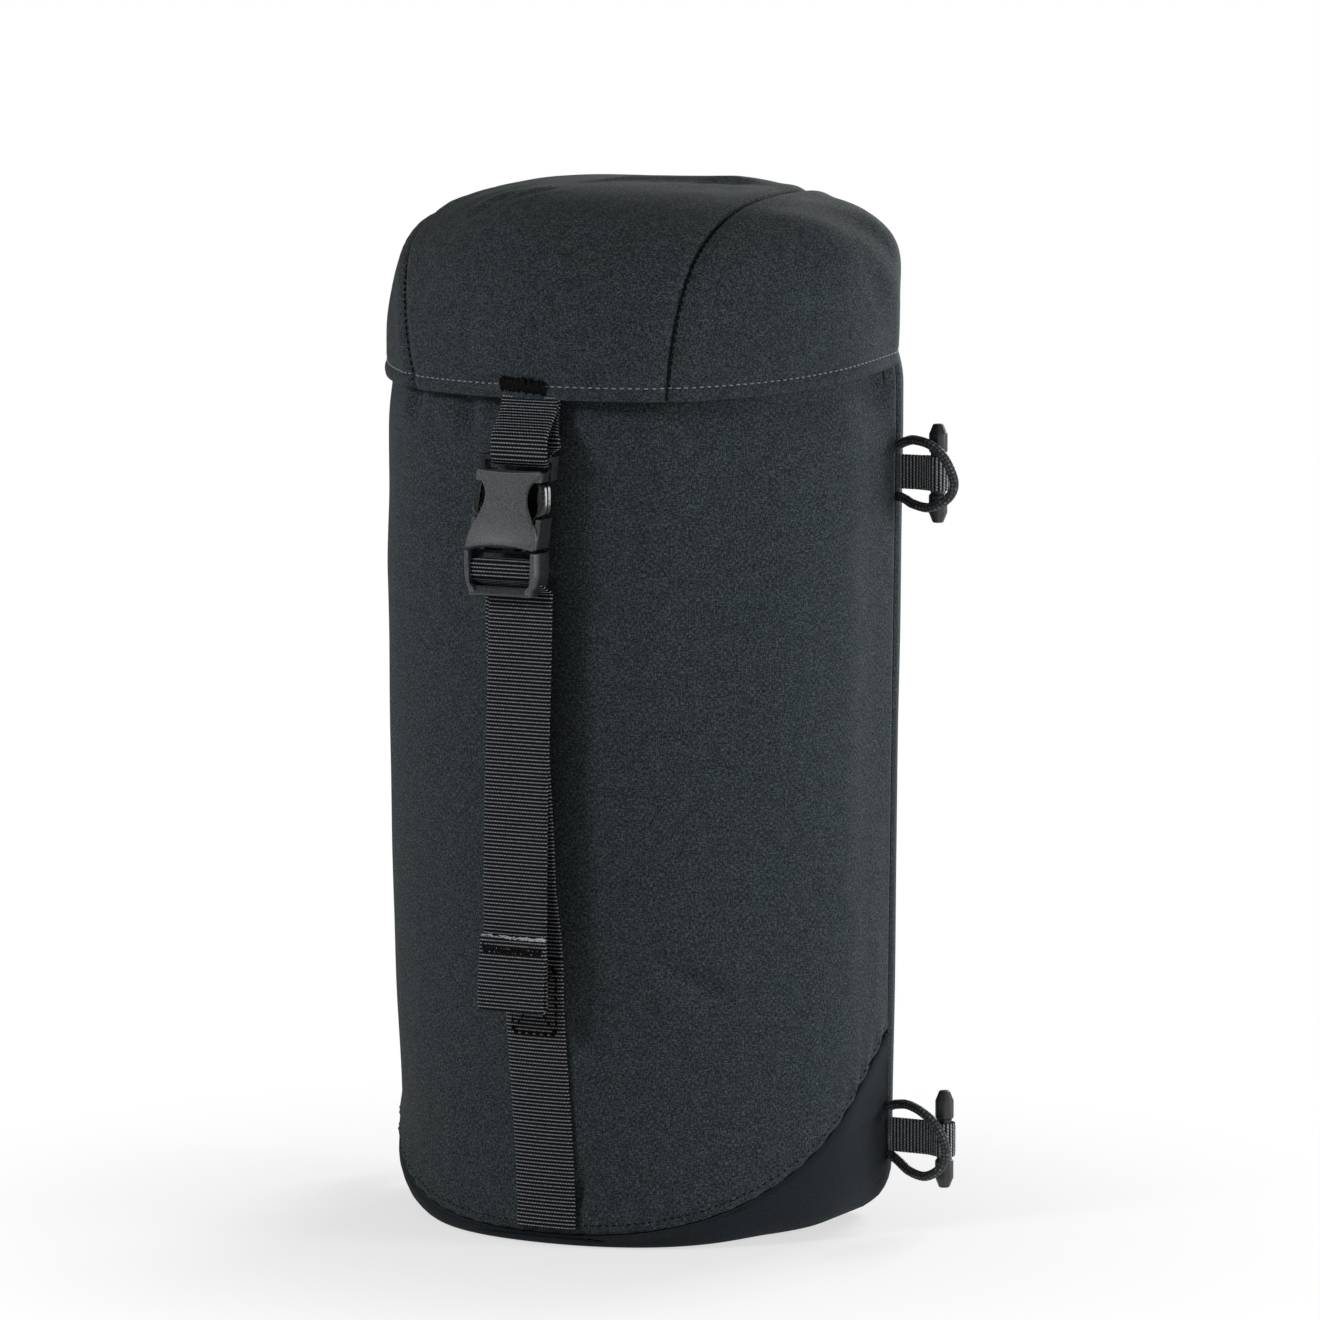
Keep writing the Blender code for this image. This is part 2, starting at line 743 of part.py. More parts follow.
def cut_box(target, name, low, high):
    """Cut a box, given by its lowest and highest corner, out of a piece."""
    mesh = bpy.data.meshes.new(name)
    bm = bmesh.new()
    bmesh.ops.create_cube(bm, size=1.0)
    bmesh.ops.scale(bm, vec=[b - a for a, b in zip(low, high)], verts=bm.verts)
    bmesh.ops.translate(bm, vec=[(a + b) / 2 for a, b in zip(low, high)], verts=bm.verts)
    bm.to_mesh(mesh)
    bm.free()
    cutter = bpy.data.objects.new(name, mesh)
    CUTTERS.objects.link(cutter)
    cutter.hide_render = True
    cutter.display_type = "WIRE"
    cut = target.modifiers.new(name, "BOOLEAN")
    cut.operation = "DIFFERENCE"
    cut.object = cutter


def mirrored(points):
    """Close a half outline, given from bottom to top at +X, with its mirror image."""
    return points + [(-x, z) for x, z in reversed(points)]


def waist_half_width(share):
    """Half width of the socket's face along its length: full at both ends, drawn in between."""
    return BUCKLE_WIDTH / 2 - (BUCKLE_WIDTH - BUCKLE_WAIST) / 2 * math.sin(math.pi * share) ** 2


def build_socket():
    foot = SPLIT_Z
    flare_top = SOCKET_TOP - STRAP_BAR_HEIGHT - SOCKET_SLOT_HEIGHT
    flare_foot = foot + SOCKET_FLARE_FOOT
    points = [(BUCKLE_WIDTH / 2, foot)]
    for share in spread(0.0, 1.0, WAIST_SEGMENTS):
        points.append((waist_half_width(share), flare_foot + share * (flare_top - flare_foot)))
    points.append((BUCKLE_WIDTH / 2, SOCKET_TOP - SOCKET_CORNER))
    points.append((BUCKLE_WIDTH / 2 - SOCKET_CORNER / 2, SOCKET_TOP))
    socket = outline_solid("buckle_socket", mirrored(points), SOCKET_THICKNESS, moulded_plastic())
    past = SOCKET_THICKNESS
    cavity = SOCKET_CAVITY_WIDTH / 2
    depth = SOCKET_CAVITY_THICKNESS / 2
    roof = foot + SOCKET_CAVITY_DEPTH
    cut_box(socket, "socket_cavity_cut", (-cavity, BUCKLE_Y - depth, foot - past),
            (cavity, BUCKLE_Y + depth, roof))
    cut_box(socket, "socket_window_cut", (-BUCKLE_WIDTH, BUCKLE_Y - depth, foot + SOCKET_WINDOW_FOOT),
            (BUCKLE_WIDTH, BUCKLE_Y + depth, roof))
    slot = WEB_WIDTH / 2 + WEB_SIDE_PLAY
    bar_foot = SOCKET_TOP - STRAP_BAR_HEIGHT
    cut_box(socket, "socket_slot_cut", (-slot, BUCKLE_Y - past, bar_foot - SOCKET_SLOT_HEIGHT),
            (slot, BUCKLE_Y + past, bar_foot))
    bar = STRAP_BAR_THICKNESS / 2
    for name, low, high in (("socket_bar_front_cut", -past, -bar), ("socket_bar_back_cut", bar, past)):
        cut_box(socket, name, (-slot, BUCKLE_Y + low, bar_foot - SOCKET_SLOT_HEIGHT / 2),
                (slot, BUCKLE_Y + high, SOCKET_TOP + past))
    return socket


def build_plug():
    """Ladder frame with two strap slots, and a short guide that enters the socket."""
    foot = SPLIT_Z - PLUG_LENGTH
    half = BUCKLE_WIDTH / 2
    points = [(half - PLUG_CORNER, foot), (half, foot + PLUG_CORNER), (half, PLUG_TOP),
              (GUIDE_WIDTH / 2, PLUG_TOP), (GUIDE_TIP_WIDTH / 2, SPLIT_Z + GUIDE_LENGTH)]
    plug = outline_solid("buckle_plug", mirrored(points), PLUG_THICKNESS, moulded_plastic())
    slot = WEB_WIDTH / 2 + WEB_SIDE_PLAY
    low, high = middle_bar()
    past = PLUG_THICKNESS
    bar = PLUG_BAR_THICKNESS / 2
    cut_box(plug, "plug_upper_slot_cut", (-slot, BUCKLE_Y - past, high),
            (slot, BUCKLE_Y + past, high + PLUG_UPPER_SLOT))
    cut_box(plug, "plug_lower_slot_cut", (-slot, BUCKLE_Y - past, end_bar_top()),
            (slot, BUCKLE_Y + past, low))
    cut_box(plug, "plug_bar_back_cut", (-slot, BUCKLE_Y + bar, foot - past),
            (slot, BUCKLE_Y + past, high + PLUG_UPPER_SLOT / 2))
    cut_box(plug, "plug_bar_front_cut", (-slot, BUCKLE_Y - past, low - PLUG_LOWER_SLOT / 2),
            (slot, BUCKLE_Y - bar, high + PLUG_UPPER_SLOT / 2))
    end_back = tail_y() - WEB_SEAT
    cut_box(plug, "plug_end_bar_cut", (-slot, end_back, foot - past),
            (slot, BUCKLE_Y + past, end_bar_top() + PLUG_LOWER_SLOT / 2))
    thin = PRONG_THICKNESS / 2
    for name, y_low, y_high in (("guide_front_cut", -past, -thin), ("guide_back_cut", thin, past)):
        cut_box(plug, name, (-half, BUCKLE_Y + y_low, PLUG_TOP),
                (half, BUCKLE_Y + y_high, SPLIT_Z + 2 * GUIDE_LENGTH))
    return plug


def build_prong(name, side):
    """Spring arm with a catch and a thumb pad that stand in the socket's side window."""
    foot = PLUG_TOP + SPLIT_GAP
    root = PRONG_ROOT_WIDTH / 2
    rail = SOCKET_CAVITY_WIDTH / 2
    clear = rail - PRONG_RAIL_PLAY
    pad = rail + CATCH_PROUD
    catch = SPLIT_Z + SOCKET_WINDOW_FOOT + SPLIT_GAP
    tip = SPLIT_Z + PRONG_LENGTH
    outer = [(PRONG_ROOT_X + root, foot), (clear, foot + SOCKET_WINDOW_FOOT / 2), (clear, catch),
             (pad, catch), (pad, catch + PAD_LENGTH), (PRONG_TIP_X, tip)]
    inner = [(PRONG_TIP_X - PRONG_TIP_WIDTH, tip), (pad - PAD_WIDTH, catch + PAD_LENGTH),
             (rail - PRONG_TIP_WIDTH, catch), (PRONG_ROOT_X - root, foot)]
    points = [(side * x, z) for x, z in outer + inner]
    if side < 0:
        points.reverse()
    return outline_solid(name, points, PRONG_THICKNESS, moulded_plastic())


def build_tab(name, side, height, reach):
    """Webbing folded round the toggle, both ends sewn into the back seam."""
    radius = TOGGLE_WAIST_RADIUS + TOGGLE_PLAY + TAB_THICKNESS / 2
    apart = TAB_THICKNESS / 2 + TAB_LAYER_GAP / 2
    turn = math.radians(180 - TAB_THROAT_ANGLE)
    neck = reach - TAB_NECK_LENGTH
    path = [(TAB_ROOT_GAP, -apart), (neck, -apart)]
    for angle in spread(-turn, turn, LOOP_SEGMENTS):
        path.append((reach + radius * math.cos(angle), radius * math.sin(angle)))
    path += [(neck, apart), (TAB_ROOT_GAP, apart)]
    root_x = side_x(height)
    rows = []
    for out, across in path:
        x = side * (root_x + out)
        low = Vector((x, SEAM_Y + across, height - TAB_WIDTH / 2))
        high = Vector((x, SEAM_Y + across, height + TAB_WIDTH / 2))
        rows.append([low, high])
    return sheet(name, rows, TAB_THICKNESS, webbing(), offset=0.0)


def build_toggle(name, side, height, reach):
    """Turned bar with a waist for the webbing and chamfered ends."""
    half = TOGGLE_LENGTH / 2
    waist = TOGGLE_WAIST_LENGTH / 2
    ease = TOGGLE_RADIUS - TOGGLE_WAIST_RADIUS
    profile = [(0.0, half), (TOGGLE_TIP_RADIUS, half), (TOGGLE_RADIUS, half - TOGGLE_TIP_LENGTH),
               (TOGGLE_RADIUS, waist + ease), (TOGGLE_WAIST_RADIUS, waist)]
    profile += [(radius, -z) for radius, z in reversed(profile)]
    mesh = bpy.data.meshes.new(name)
    points = [(radius, 0.0, z) for radius, z in profile]
    edges = [(i, i + 1) for i in range(len(points) - 1)]
    mesh.from_pydata(points, edges, [])
    obj = add_object(name, mesh, moulded_plastic())
    turn = obj.modifiers.new("turned", "SCREW")
    turn.steps = TURN_SEGMENTS
    turn.render_steps = TURN_SEGMENTS
    turn.use_merge_vertices = True
    turn.merge_threshold = 0.00001
    obj.location = (side * (side_x(height) + reach), SEAM_Y, height)
    return obj


def catmull(points, steps):
    """A smooth curve through the points, with a given number of steps between each pair."""
    padded = [points[0] * 2 - points[1]] + points + [points[-1] * 2 - points[-2]]
    curve = []
    for a, b, c, d in zip(padded, padded[1:], padded[2:], padded[3:]):
        for i in range(steps):
            t = i / steps
            curve.append(0.5 * ((2 * b) + (c - a) * t + (2 * a - 5 * b + 4 * c - d) * t * t
                                + (3 * b - a - 3 * c + d) * t ** 3))
    return curve + [points[-1]]


def build_cord_loop(name, side, height, places):
    """Elastic cord from the seam, over the front of the toggle and back to the seam."""
    root_x = side_x(height)
    route = []
    for out, ahead, up in places:
        route.append(Vector((side * (root_x + out), SEAM_Y + ahead, height + up)))
    points = catmull(route, CORD_STEPS)
    curve = bpy.data.curves.new(name, "CURVE")
    curve.dimensions = "3D"
    curve.bevel_depth = CORD_DIAMETER / 2
    curve.bevel_resolution = 2
    curve.use_fill_caps = True
    spline = curve.splines.new("POLY")
    spline.points.add(len(points) - 1)
    for point, place in zip(spline.points, points):
        point.co = (*place, 1.0)
    obj = bpy.data.objects.new(name, curve)
    curve.materials.append(elastic_cord())
    PARTS.objects.link(obj)
    return obj


def build_body():
    build_base_panel()
    build_front_panel()
    build_back_panel()
    build_mouth_binding()
    build_seam_tape("seam_tape_right", 1)
    build_seam_tape("seam_tape_left", -1)
    build_hinge_tape()
    build_anchor_strap()
    build_strap_riser()


def build_lid():
    half_gap = SEAM_GAP / 2
    pieces = [
        build_lid_panel("lid_band", -LID_SEAM_X + half_gap, LID_SEAM_X - half_gap),
        build_lid_panel("lid_side_right", LID_SEAM_X + half_gap, None),
        build_lid_panel("lid_side_left", None, -LID_SEAM_X - half_gap),
        build_hem_facing(),
        build_lid_bar_tack(),
    ]
    lid = joint_empty("lid_axis", (0.0, HINGE_Y, HEM_BACK_HEIGHT))
    hang(lid, *pieces)
    hem = joint_empty("socket_axis", (0.0, FRONT_Y - LID_OFFSET / 2, HEM_FRONT_HEIGHT), lid)
    hang(hem, build_lid_strap(), build_socket())


def build_plug_group():
    plug = joint_empty("plug_axis", (0.0, BUCKLE_Y, SPLIT_Z))
    hang(plug, build_plug(), build_strap_tail(), build_tail_fold(), build_tail_bar_tack())
    for name, side in (("prong_right", 1), ("prong_left", -1)):
        root = joint_empty(name + "_axis", (side * PRONG_ROOT_X, BUCKLE_Y, SPLIT_Z), plug)
        hang(root, build_prong(name, side))


def build_tabs():
    levels = (("upper", TAB_UPPER_HEIGHT, TAB_UPPER_REACH, UPPER_CORD_ROUTE),
              ("lower", TAB_LOWER_HEIGHT, TAB_LOWER_REACH, LOWER_CORD_ROUTE))
    for level, height, reach, route in levels:
        for hand, side in (("right", 1), ("left", -1)):
            label = f"{level}_{hand}"
            root = (side * (side_x(height) + TAB_ROOT_GAP), SEAM_Y, height)
            seam = joint_empty(f"tab_{label}_axis", root)
            hang(seam, build_tab(f"tab_{label}", side, height, reach))
            hang(seam, build_cord_loop(f"cord_{label}", side, height, route))
            hang(seam, build_toggle(f"toggle_{label}", side, height, reach))
            if side < 0:
                # The left tabs lie folded back behind the pocket.
                seam.rotation_euler.z = -math.radians(LEFT_TAB_TURN)


def main():
    global PARTS, CUTTERS
    clear_scene()
    PARTS = new_collection("fabric_side_pocket")
    CUTTERS = new_collection("cutters")
    build_body()
    build_lid()
    build_plug_group()
    build_tabs()


main()
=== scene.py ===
"""Dresses the strap-on side pocket: sewn cloth, webbing, moulded buckle, toggles, cords and a stage."""

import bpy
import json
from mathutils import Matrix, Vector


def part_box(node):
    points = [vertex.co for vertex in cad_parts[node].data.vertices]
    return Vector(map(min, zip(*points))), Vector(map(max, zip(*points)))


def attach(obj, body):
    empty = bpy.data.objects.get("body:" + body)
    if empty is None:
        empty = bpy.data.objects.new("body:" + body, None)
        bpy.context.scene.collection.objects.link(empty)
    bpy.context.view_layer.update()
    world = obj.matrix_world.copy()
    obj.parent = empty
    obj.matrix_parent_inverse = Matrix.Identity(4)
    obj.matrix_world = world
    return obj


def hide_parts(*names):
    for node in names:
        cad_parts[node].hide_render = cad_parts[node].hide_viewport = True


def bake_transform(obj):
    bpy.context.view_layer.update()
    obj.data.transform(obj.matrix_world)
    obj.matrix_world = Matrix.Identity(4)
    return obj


bl_info = {
    "name": "Strap-on side pocket",
    "version": (1, 0, 0),
    "blender": (4, 5, 0),
    "location": "View3D > Sidebar > Side pocket",
    "description": "Builds the cloth, webbing, buckle, cords and stage of a fabric side pocket",
    "category": "Add Mesh",
}

import itertools
import json
import math

import bmesh
import bpy
import numpy as np
from bpy.props import FloatProperty, FloatVectorProperty, PointerProperty
from mathutils import Vector
from mathutils.bvhtree import BVHTree

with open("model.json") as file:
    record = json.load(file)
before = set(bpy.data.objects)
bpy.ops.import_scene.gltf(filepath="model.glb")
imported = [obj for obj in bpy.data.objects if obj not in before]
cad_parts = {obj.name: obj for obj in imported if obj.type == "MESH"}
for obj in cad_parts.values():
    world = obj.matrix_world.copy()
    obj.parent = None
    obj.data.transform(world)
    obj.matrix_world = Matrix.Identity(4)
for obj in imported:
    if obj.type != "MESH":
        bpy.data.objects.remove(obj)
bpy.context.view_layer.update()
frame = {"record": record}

MM = 0.001

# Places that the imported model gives
JOINTS = frame["record"]["behaviour"]["joints"]
JOINT_AT = {joint["name"]: Vector(joint["pos_m"]) for joint in JOINTS if "pos_m" in joint}
FRONT_LOW, FRONT_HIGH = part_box("front_panel")
BACK_LOW, BACK_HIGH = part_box("back_panel")
LID_LOW, LID_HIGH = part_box("lid_band")
HINGE_LOW, HINGE_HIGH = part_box("lid_hinge_tape")
SOCKET_LOW, SOCKET_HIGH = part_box("buckle_socket")
PLUG_LOW, PLUG_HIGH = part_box("buckle_plug")
ANCHOR_LOW, ANCHOR_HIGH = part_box("anchor_strap")
FOLD_LOW, FOLD_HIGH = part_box("strap_tail_fold")

FRONT_Y = FRONT_LOW.y
BACK_Y = BACK_HIGH.y
HALF_WIDTH = FRONT_HIGH.x
DEPTH = BACK_Y - FRONT_Y
MOUTH = FRONT_HIGH.z
SEAM_Y = JOINT_AT["upper_right_tab_swing"].y
CORNER = BACK_Y - SEAM_Y
HEM_FRONT = LID_LOW.z
HEM_BACK = JOINT_AT["lid_open"].z
LID_TOP = LID_HIGH.z
LID_OFFSET = FRONT_Y - LID_LOW.y
BUCKLE_Y = JOINT_AT["squeeze_left"].y
SPLIT_Z = JOINT_AT["squeeze_left"].z
TAIL_FOOT = FOLD_LOW.z

# The pocket's D-shaped section and how it narrows, as the solids have them
CURVE_DEPTH = 0.0682
WIDEST_Y = FRONT_Y + CURVE_DEPTH
LEAST_CORNER = 0.003
BASE_TAPER = 0.0028
TAPER_TOP = HINGE_LOW.z - 0.0004
MOUTH_DRAW_IN = 0.0060
BAND_HEIGHT = 0.0036
RIM_HEIGHT = 0.0584
RIM_POWER = 1.34
FRONT_EDGE, SIDE_EDGE = 0.0032, 0.0166
EDGE_BLEND = 0.040
EDGE_SHARE = 0.95
BACK_FOOT = BACK_LOW.z - 0.0004

# The lid's dome and its two seams
FRONT_SHOULDER, BACK_SHOULDER = 0.0030, 0.0241
CROWN_Y = 0.0277
DOME_POWER, CROWN_POWER = 4.15, 2.15
LID_PANELS = {"band": (1, -1), "side_right": (1,), "side_left": (-1,)}
LID_SEAMS = {1: (0.0413, 0.06), -1: (-0.0450, -0.40)}
LID_DRAW_RIGHT, LID_DRAW_LEFT = 0.0039, 0.0019
FACING_HEIGHT, FACING_THICK = 0.0062, 0.0006

# Webbing, and the bars that it runs round
WEB_WIDTH, WEB_THICK, WEB_GAP = 0.020, 0.0013, 0.0003
WEB_SEAT = WEB_THICK / 2 + WEB_GAP
BUCKLE_DEEP = 0.0050
MOULD_GRAIN, MOULD_ROUNDS = 0.0002, 6
LEAN_X, LEAN_Y = (-0.0003, -0.0026), (-0.0008, -0.0016)
PLUG_TOP = SPLIT_Z - 0.0004
PLUG_Y = BUCKLE_Y + sum(LEAN_Y)
BAR_Y, BAR_HALF = PLUG_Y - 0.0010, 0.0013
BAR_TOP, BAR_FOOT = PLUG_TOP - 0.0038, PLUG_TOP - 0.0074
END_BAR_TOP, END_BAR_BACK = PLUG_TOP - 0.0104, PLUG_Y + 0.0008
PLUG_FOOT = PLUG_LOW.z + 0.0008
TAIL_Y = END_BAR_BACK + WEB_SEAT
RISER_Y = TAIL_Y + WEB_THICK + 2 * WEB_GAP
RISER_FOOT = 0.0884
BAR_BEHIND = BAR_Y + BAR_HALF + WEB_SEAT
SOCKET_BAR_Y, SOCKET_BAR_HALF = BUCKLE_Y + LEAN_Y[0], 0.0018
SOCKET_BAR_FOOT = SOCKET_HIGH.z - 0.0014
SOCKET_TOP = SOCKET_HIGH.z + 0.0002

# Toggle tabs, each rooted a little off the wall. A cord's route is given out from the wall, back from the
# seam and up from the tab's middle.
TAB_STANDOFF, TAB_THICK = 0.0009, 0.0008
CORD_DIAMETER = 0.0030
BRAID_HEIGHT, BRAID_STRANDS = 0.00006, 4
BRAID_TURN = 2600.0  # radians along each metre of cord
UPPER_ROUTE = [
    (0.0009, 0.0, 0.0083), (0.0034, -0.0010, 0.0093), (0.0074, -0.0033, 0.0101),
    (0.0138, -0.0053, 0.0089), (0.0184, -0.0052, 0.0048), (0.0211, -0.0047, -0.0020),
    (0.0192, -0.0050, -0.0069), (0.0134, -0.0053, -0.0099), (0.0070, -0.0033, -0.0094),
    (0.0034, -0.0010, -0.0084), (0.0009, 0.0, -0.0077),
]
LOWER_ROUTE = [
    (0.0009, 0.0, 0.0088), (0.0036, -0.0010, 0.0096), (0.0086, -0.0033, 0.0101),
    (0.0148, -0.0054, 0.0082), (0.0196, -0.0057, 0.0040), (0.0220, -0.0056, -0.0020),
    (0.0206, -0.0056, -0.0076), (0.0154, -0.0054, -0.0110), (0.0090, -0.0033, -0.0104),
    (0.0040, -0.0010, -0.0080), (0.0009, 0.0, -0.0064),
]
HANDS = (("right", 1), ("left", -1))

# Rays that find the cloth start this far in front of the pocket or behind it
RAY_START = 0.09
LEFT_TO_RIGHT, UPWARD = (1.0, 0.0, 0.0), (0.0, 0.0, 1.0)
FRONT_TO_BACK, BACK_TO_FRONT = (0.0, 1.0, 0.0), (0.0, -1.0, 0.0)


def linear(code):
    """An sRGB hex colour as linear red, green and blue."""
    parts = [int(code[i:i + 2], 16) / 255 for i in (1, 3, 5)]
    return [p / 12.92 if p <= 0.04045 else ((p + 0.055) / 1.055) ** 2.4 for p in parts]


def length(label, text, default):
    """A length in metres that a user may change."""
    return FloatProperty(name=label, description=text, default=default, min=0.0, precision=5, unit="LENGTH")


def colour(label, text, code):
    """A colour that a user may change."""
    return FloatVectorProperty(
        name=label, description=text, default=linear(code), subtype="COLOR", min=0.0, max=1.0)


class PocketSizes(bpy.types.PropertyGroup):
    """Sizes of the cloth, webbing and thread."""

    cloth: length("Cloth", "Thickness of the body cloth with its lining", 0.0013)
    slack: length("Slack", "Height of the soft waves in the body cloth", 0.0011)
    yarn: length("Yarn spacing", "Spacing of the body cloth's yarns as drawn", 0.00058)
    twill: length("Twill spacing", "Spacing of the base cloth's diagonal ribs", 0.0011)
    rib: length("Rib spacing", "Spacing of the webbing's ribs", 0.00113)
    rib_height: length("Rib height", "Height of one webbing rib", 0.00022)
    bead: length("Bead spacing", "Spacing of the yarns across the webbing", 0.00094)
    stitch: length("Stitch length", "Length of one visible stitch", 0.0016)
    stitch_step: length("Stitch spacing", "From one stitch to the next", 0.0023)
    stitch_in: length("Stitch margin", "From the hem's edge to its line of stitching", 0.0040)
    thread: length("Thread", "Radius of the sewing thread", 0.00022)
    grit: length("Plastic grit", "Grain of the buckle's moulded surface", 0.00045)


class PocketColours(bpy.types.PropertyGroup):
    """Colours of the cloth, webbing, plastic and thread."""

    cloth: colour("Cloth", "Body cloth, middle tone", "#293134")
    cloth_dark: colour("Cloth shade", "Body cloth, dark yarns", "#101416")
    cloth_pale: colour("Cloth light", "Body cloth, pale yarns", "#4C565A")
    base: colour("Base", "Base cloth", "#171B1E")
    # Painted highlight: the paler colour on the tops of the base's diagonal ribs
    base_rib_highlight: colour("Base ribs", "Base cloth, tops of its diagonal ribs", "#2C3337")
    # Painted highlight: the webbing's rib tops are pale where light would catch them
    web: colour("Webbing", "Tops of the webbing's ribs", "#B2B6BC")
    # Painted shade: near black in the gaps between the ribs of the webbing and the tape
    rib_gap_shade: colour("Webbing gaps", "Gaps between the webbing's ribs", "#020303")
    tape: colour("Tape", "Binding and seam tape", "#222527")
    plastic: colour("Plastic", "Buckle and toggles", "#303336")
    # Paler plastic: the grit's speckle, and a painted highlight along the edges
    plastic_grit_and_edge_highlight: colour("Plastic edges", "Rubbed edges of the plastic", "#5C6063")
    thread: colour("Thread", "Hem stitching", "#8A8F92")
    thread_dark: colour("Dark thread", "Bar tacks and box stitch", "#060607")
    fibre: colour("Fibre", "Cut ends of the webbing's yarns", "#C4C7CA")
    cord: colour("Cord", "Braided cord cover", "#232629")
    cord_pale: colour("Cord flecks", "Pale yarns in the braid", "#8E9296")
    floor: colour("Floor", "Studio floor", "#F4F4F4")


def sizes():
    """The sizes set in the sidebar."""
    return bpy.context.scene.pocket_sizes


def colours():
    """The colours set in the sidebar."""
    return bpy.context.scene.pocket_colours


# Numbers over arrays

def smooth(t):
    """0 to 1 with level ends."""
    t = np.clip(t, 0.0, 1.0)
    return t * t * (3.0 - 2.0 * t)


def unit(vectors):
    """Vectors at length one."""
    return vectors / np.maximum(np.linalg.norm(vectors, axis=-1, keepdims=True), 1e-12)


def hump(distance, width):
    """A bell that is 1 at distance 0."""
    return np.exp(-(distance / width) ** 2)


def crumple(u, v, size_u, size_v, seed):
    """Smooth random heights from -1 to 1, with waves about size_u by size_v across."""
    cells = 64
    table = np.random.default_rng(seed).uniform(-1.0, 1.0, (cells, cells))
    a, b = u / size_u, v / size_v
    i, j = np.floor(a).astype(int), np.floor(b).astype(int)
    p, q = smooth(a - i), smooth(b - j)
    low = table[i % cells, j % cells] * (1 - p) + table[(i + 1) % cells, j % cells] * p
    high = table[i % cells, (j + 1) % cells] * (1 - p) + table[(i + 1) % cells, (j + 1) % cells] * p
    return low * (1 - q) + high * q


def crease(u, v, start, end, depth, width):
    """A pinched fold from start to end, with a soft swelling on each side of it."""
    a, b = np.array(start), np.array(end)
    run = b - a
    share = np.clip(((u - a[0]) * run[0] + (v - a[1]) * run[1]) / run.dot(run), 0.0, 1.0)
    away = np.hypot(u - a[0] - share * run[0], v - a[1] - share * run[1])
    fade = np.sin(np.pi * np.clip(share, 0.04, 0.96))
    return fade * depth * (0.55 * hump(away - 2.2 * width, 1.4 * width) - hump(away, width))


def catmull(points, steps):
    """A smooth line through every point."""
    points = np.asarray(points, float)
    padded = np.vstack([2 * points[0] - points[1], points, 2 * points[-1] - points[-2]])
    t = np.linspace(0.0, 1.0, steps, endpoint=False)[:, None]
    line = []
    for a, b, c, d in zip(padded, padded[1:], padded[2:], padded[3:]):
        line.append(0.5 * (2 * b + (c - a) * t + (2 * a - 5 * b + 4 * c - d) * t ** 2
                           + (3 * b - a - 3 * c + d) * t ** 3))
    return np.vstack([*line, points[-1:]])


def points_at(x, y, z):
    """Points from three coordinates, of which any may be one number."""
    return np.stack(np.broadcast_arrays(x, y, z), -1)


def travel(points):
    """Distance gone at each point of a line, or of each line down a grid."""
    steps = np.linalg.norm(np.diff(points, axis=0), axis=-1)
    return np.concatenate([0 * steps[:1], np.cumsum(steps, axis=0)])


def level_with(vectors, normals):
    """Directions turned to lie in the surface that has these normals."""
    return unit(vectors - normals * np.sum(vectors * normals, axis=1, keepdims=True))


def even_steps(points, step):
    """The line through points, read again at even steps."""
    gone = travel(points)
    count = max(int(round(gone[-1] / step)), 2)
    at = np.linspace(0.0, gone[-1], count + 1)
    return np.stack([np.interp(at, gone, points[:, k]) for k in range(3)], 1), at


# The pocket's shape

def outline(s, inset=0.0):
    """The D-shaped section: s is 0 at the front, 1 at the widest, 2 at the back seam and 4 behind."""
    t = np.abs(s)
    half = HALF_WIDTH - inset
    radius = np.maximum(CORNER - inset, LEAST_CORNER)
    corner_x, corner_y = half - radius, BACK_Y - inset - radius
    front = np.clip(t, 0, 1) * np.pi / 2
    turn = np.clip(t - 2, 0, 1) * np.pi / 2
    parts = [t <= 1, t <= 2, t <= 3]
    x = [half * np.sin(front), half, corner_x + radius * np.cos(turn)]
    y = [WIDEST_Y - (CURVE_DEPTH - inset) * np.cos(front), WIDEST_Y + (t - 1) * (corner_y - WIDEST_Y),
         corner_y + radius * np.sin(turn)]
    x = np.select(parts, x, corner_x * (4 - t))
    y = np.select(parts, y, BACK_Y - inset)
    return np.where(s < 0, -x, x), y


ARC_S = np.linspace(-4.0, 4.0, 1601)
ARC_GONE = travel(np.stack(outline(ARC_S), 1))
ARC = ARC_GONE - np.interp(0.0, ARC_S, ARC_GONE)


def arc(s):
    """Distance round the section from the front's middle."""
    return np.interp(s, ARC_S, ARC)


def around(distance):
    """The s value at a distance round the section."""
    return np.interp(distance, ARC, ARC_S)


def narrowing(z):
    """How far the wall is drawn in at a height, by the base's taper and at the mouth."""
    taper = BASE_TAPER * (1 - np.minimum(z / TAPER_TOP, 1.0))
    return taper + MOUTH_DRAW_IN * smooth((z - HEM_FRONT) / (MOUTH - HEM_FRONT))


def rim(s):
    """Height of the base's seam."""
    depth = np.maximum(outline(s)[1] - FRONT_Y, 0.0) / (SEAM_Y - FRONT_Y)
    climb = BAND_HEIGHT + (RIM_HEIGHT - BAND_HEIGHT) * depth ** RIM_POWER
    return np.where(np.abs(s) >= 2, BACK_FOOT, climb)


def bottom_edge(s):
    """Radius of the pocket's rounded bottom edge."""
    radius = FRONT_EDGE + (SIDE_EDGE - FRONT_EDGE) * smooth((outline(s)[1] - FRONT_Y) / EDGE_BLEND)
    return np.minimum(radius, EDGE_SHARE * rim(s))


def wall(s, z, inset=0.0):
    """Points of the sewn wall."""
    radius = bottom_edge(s)
    rise = np.clip(1 - z / radius, 0.0, 1.0)
    x, y = outline(s, narrowing(z) + inset + radius * (1 - np.sqrt(1 - rise ** 2)))
    return points_at(x, y, z)


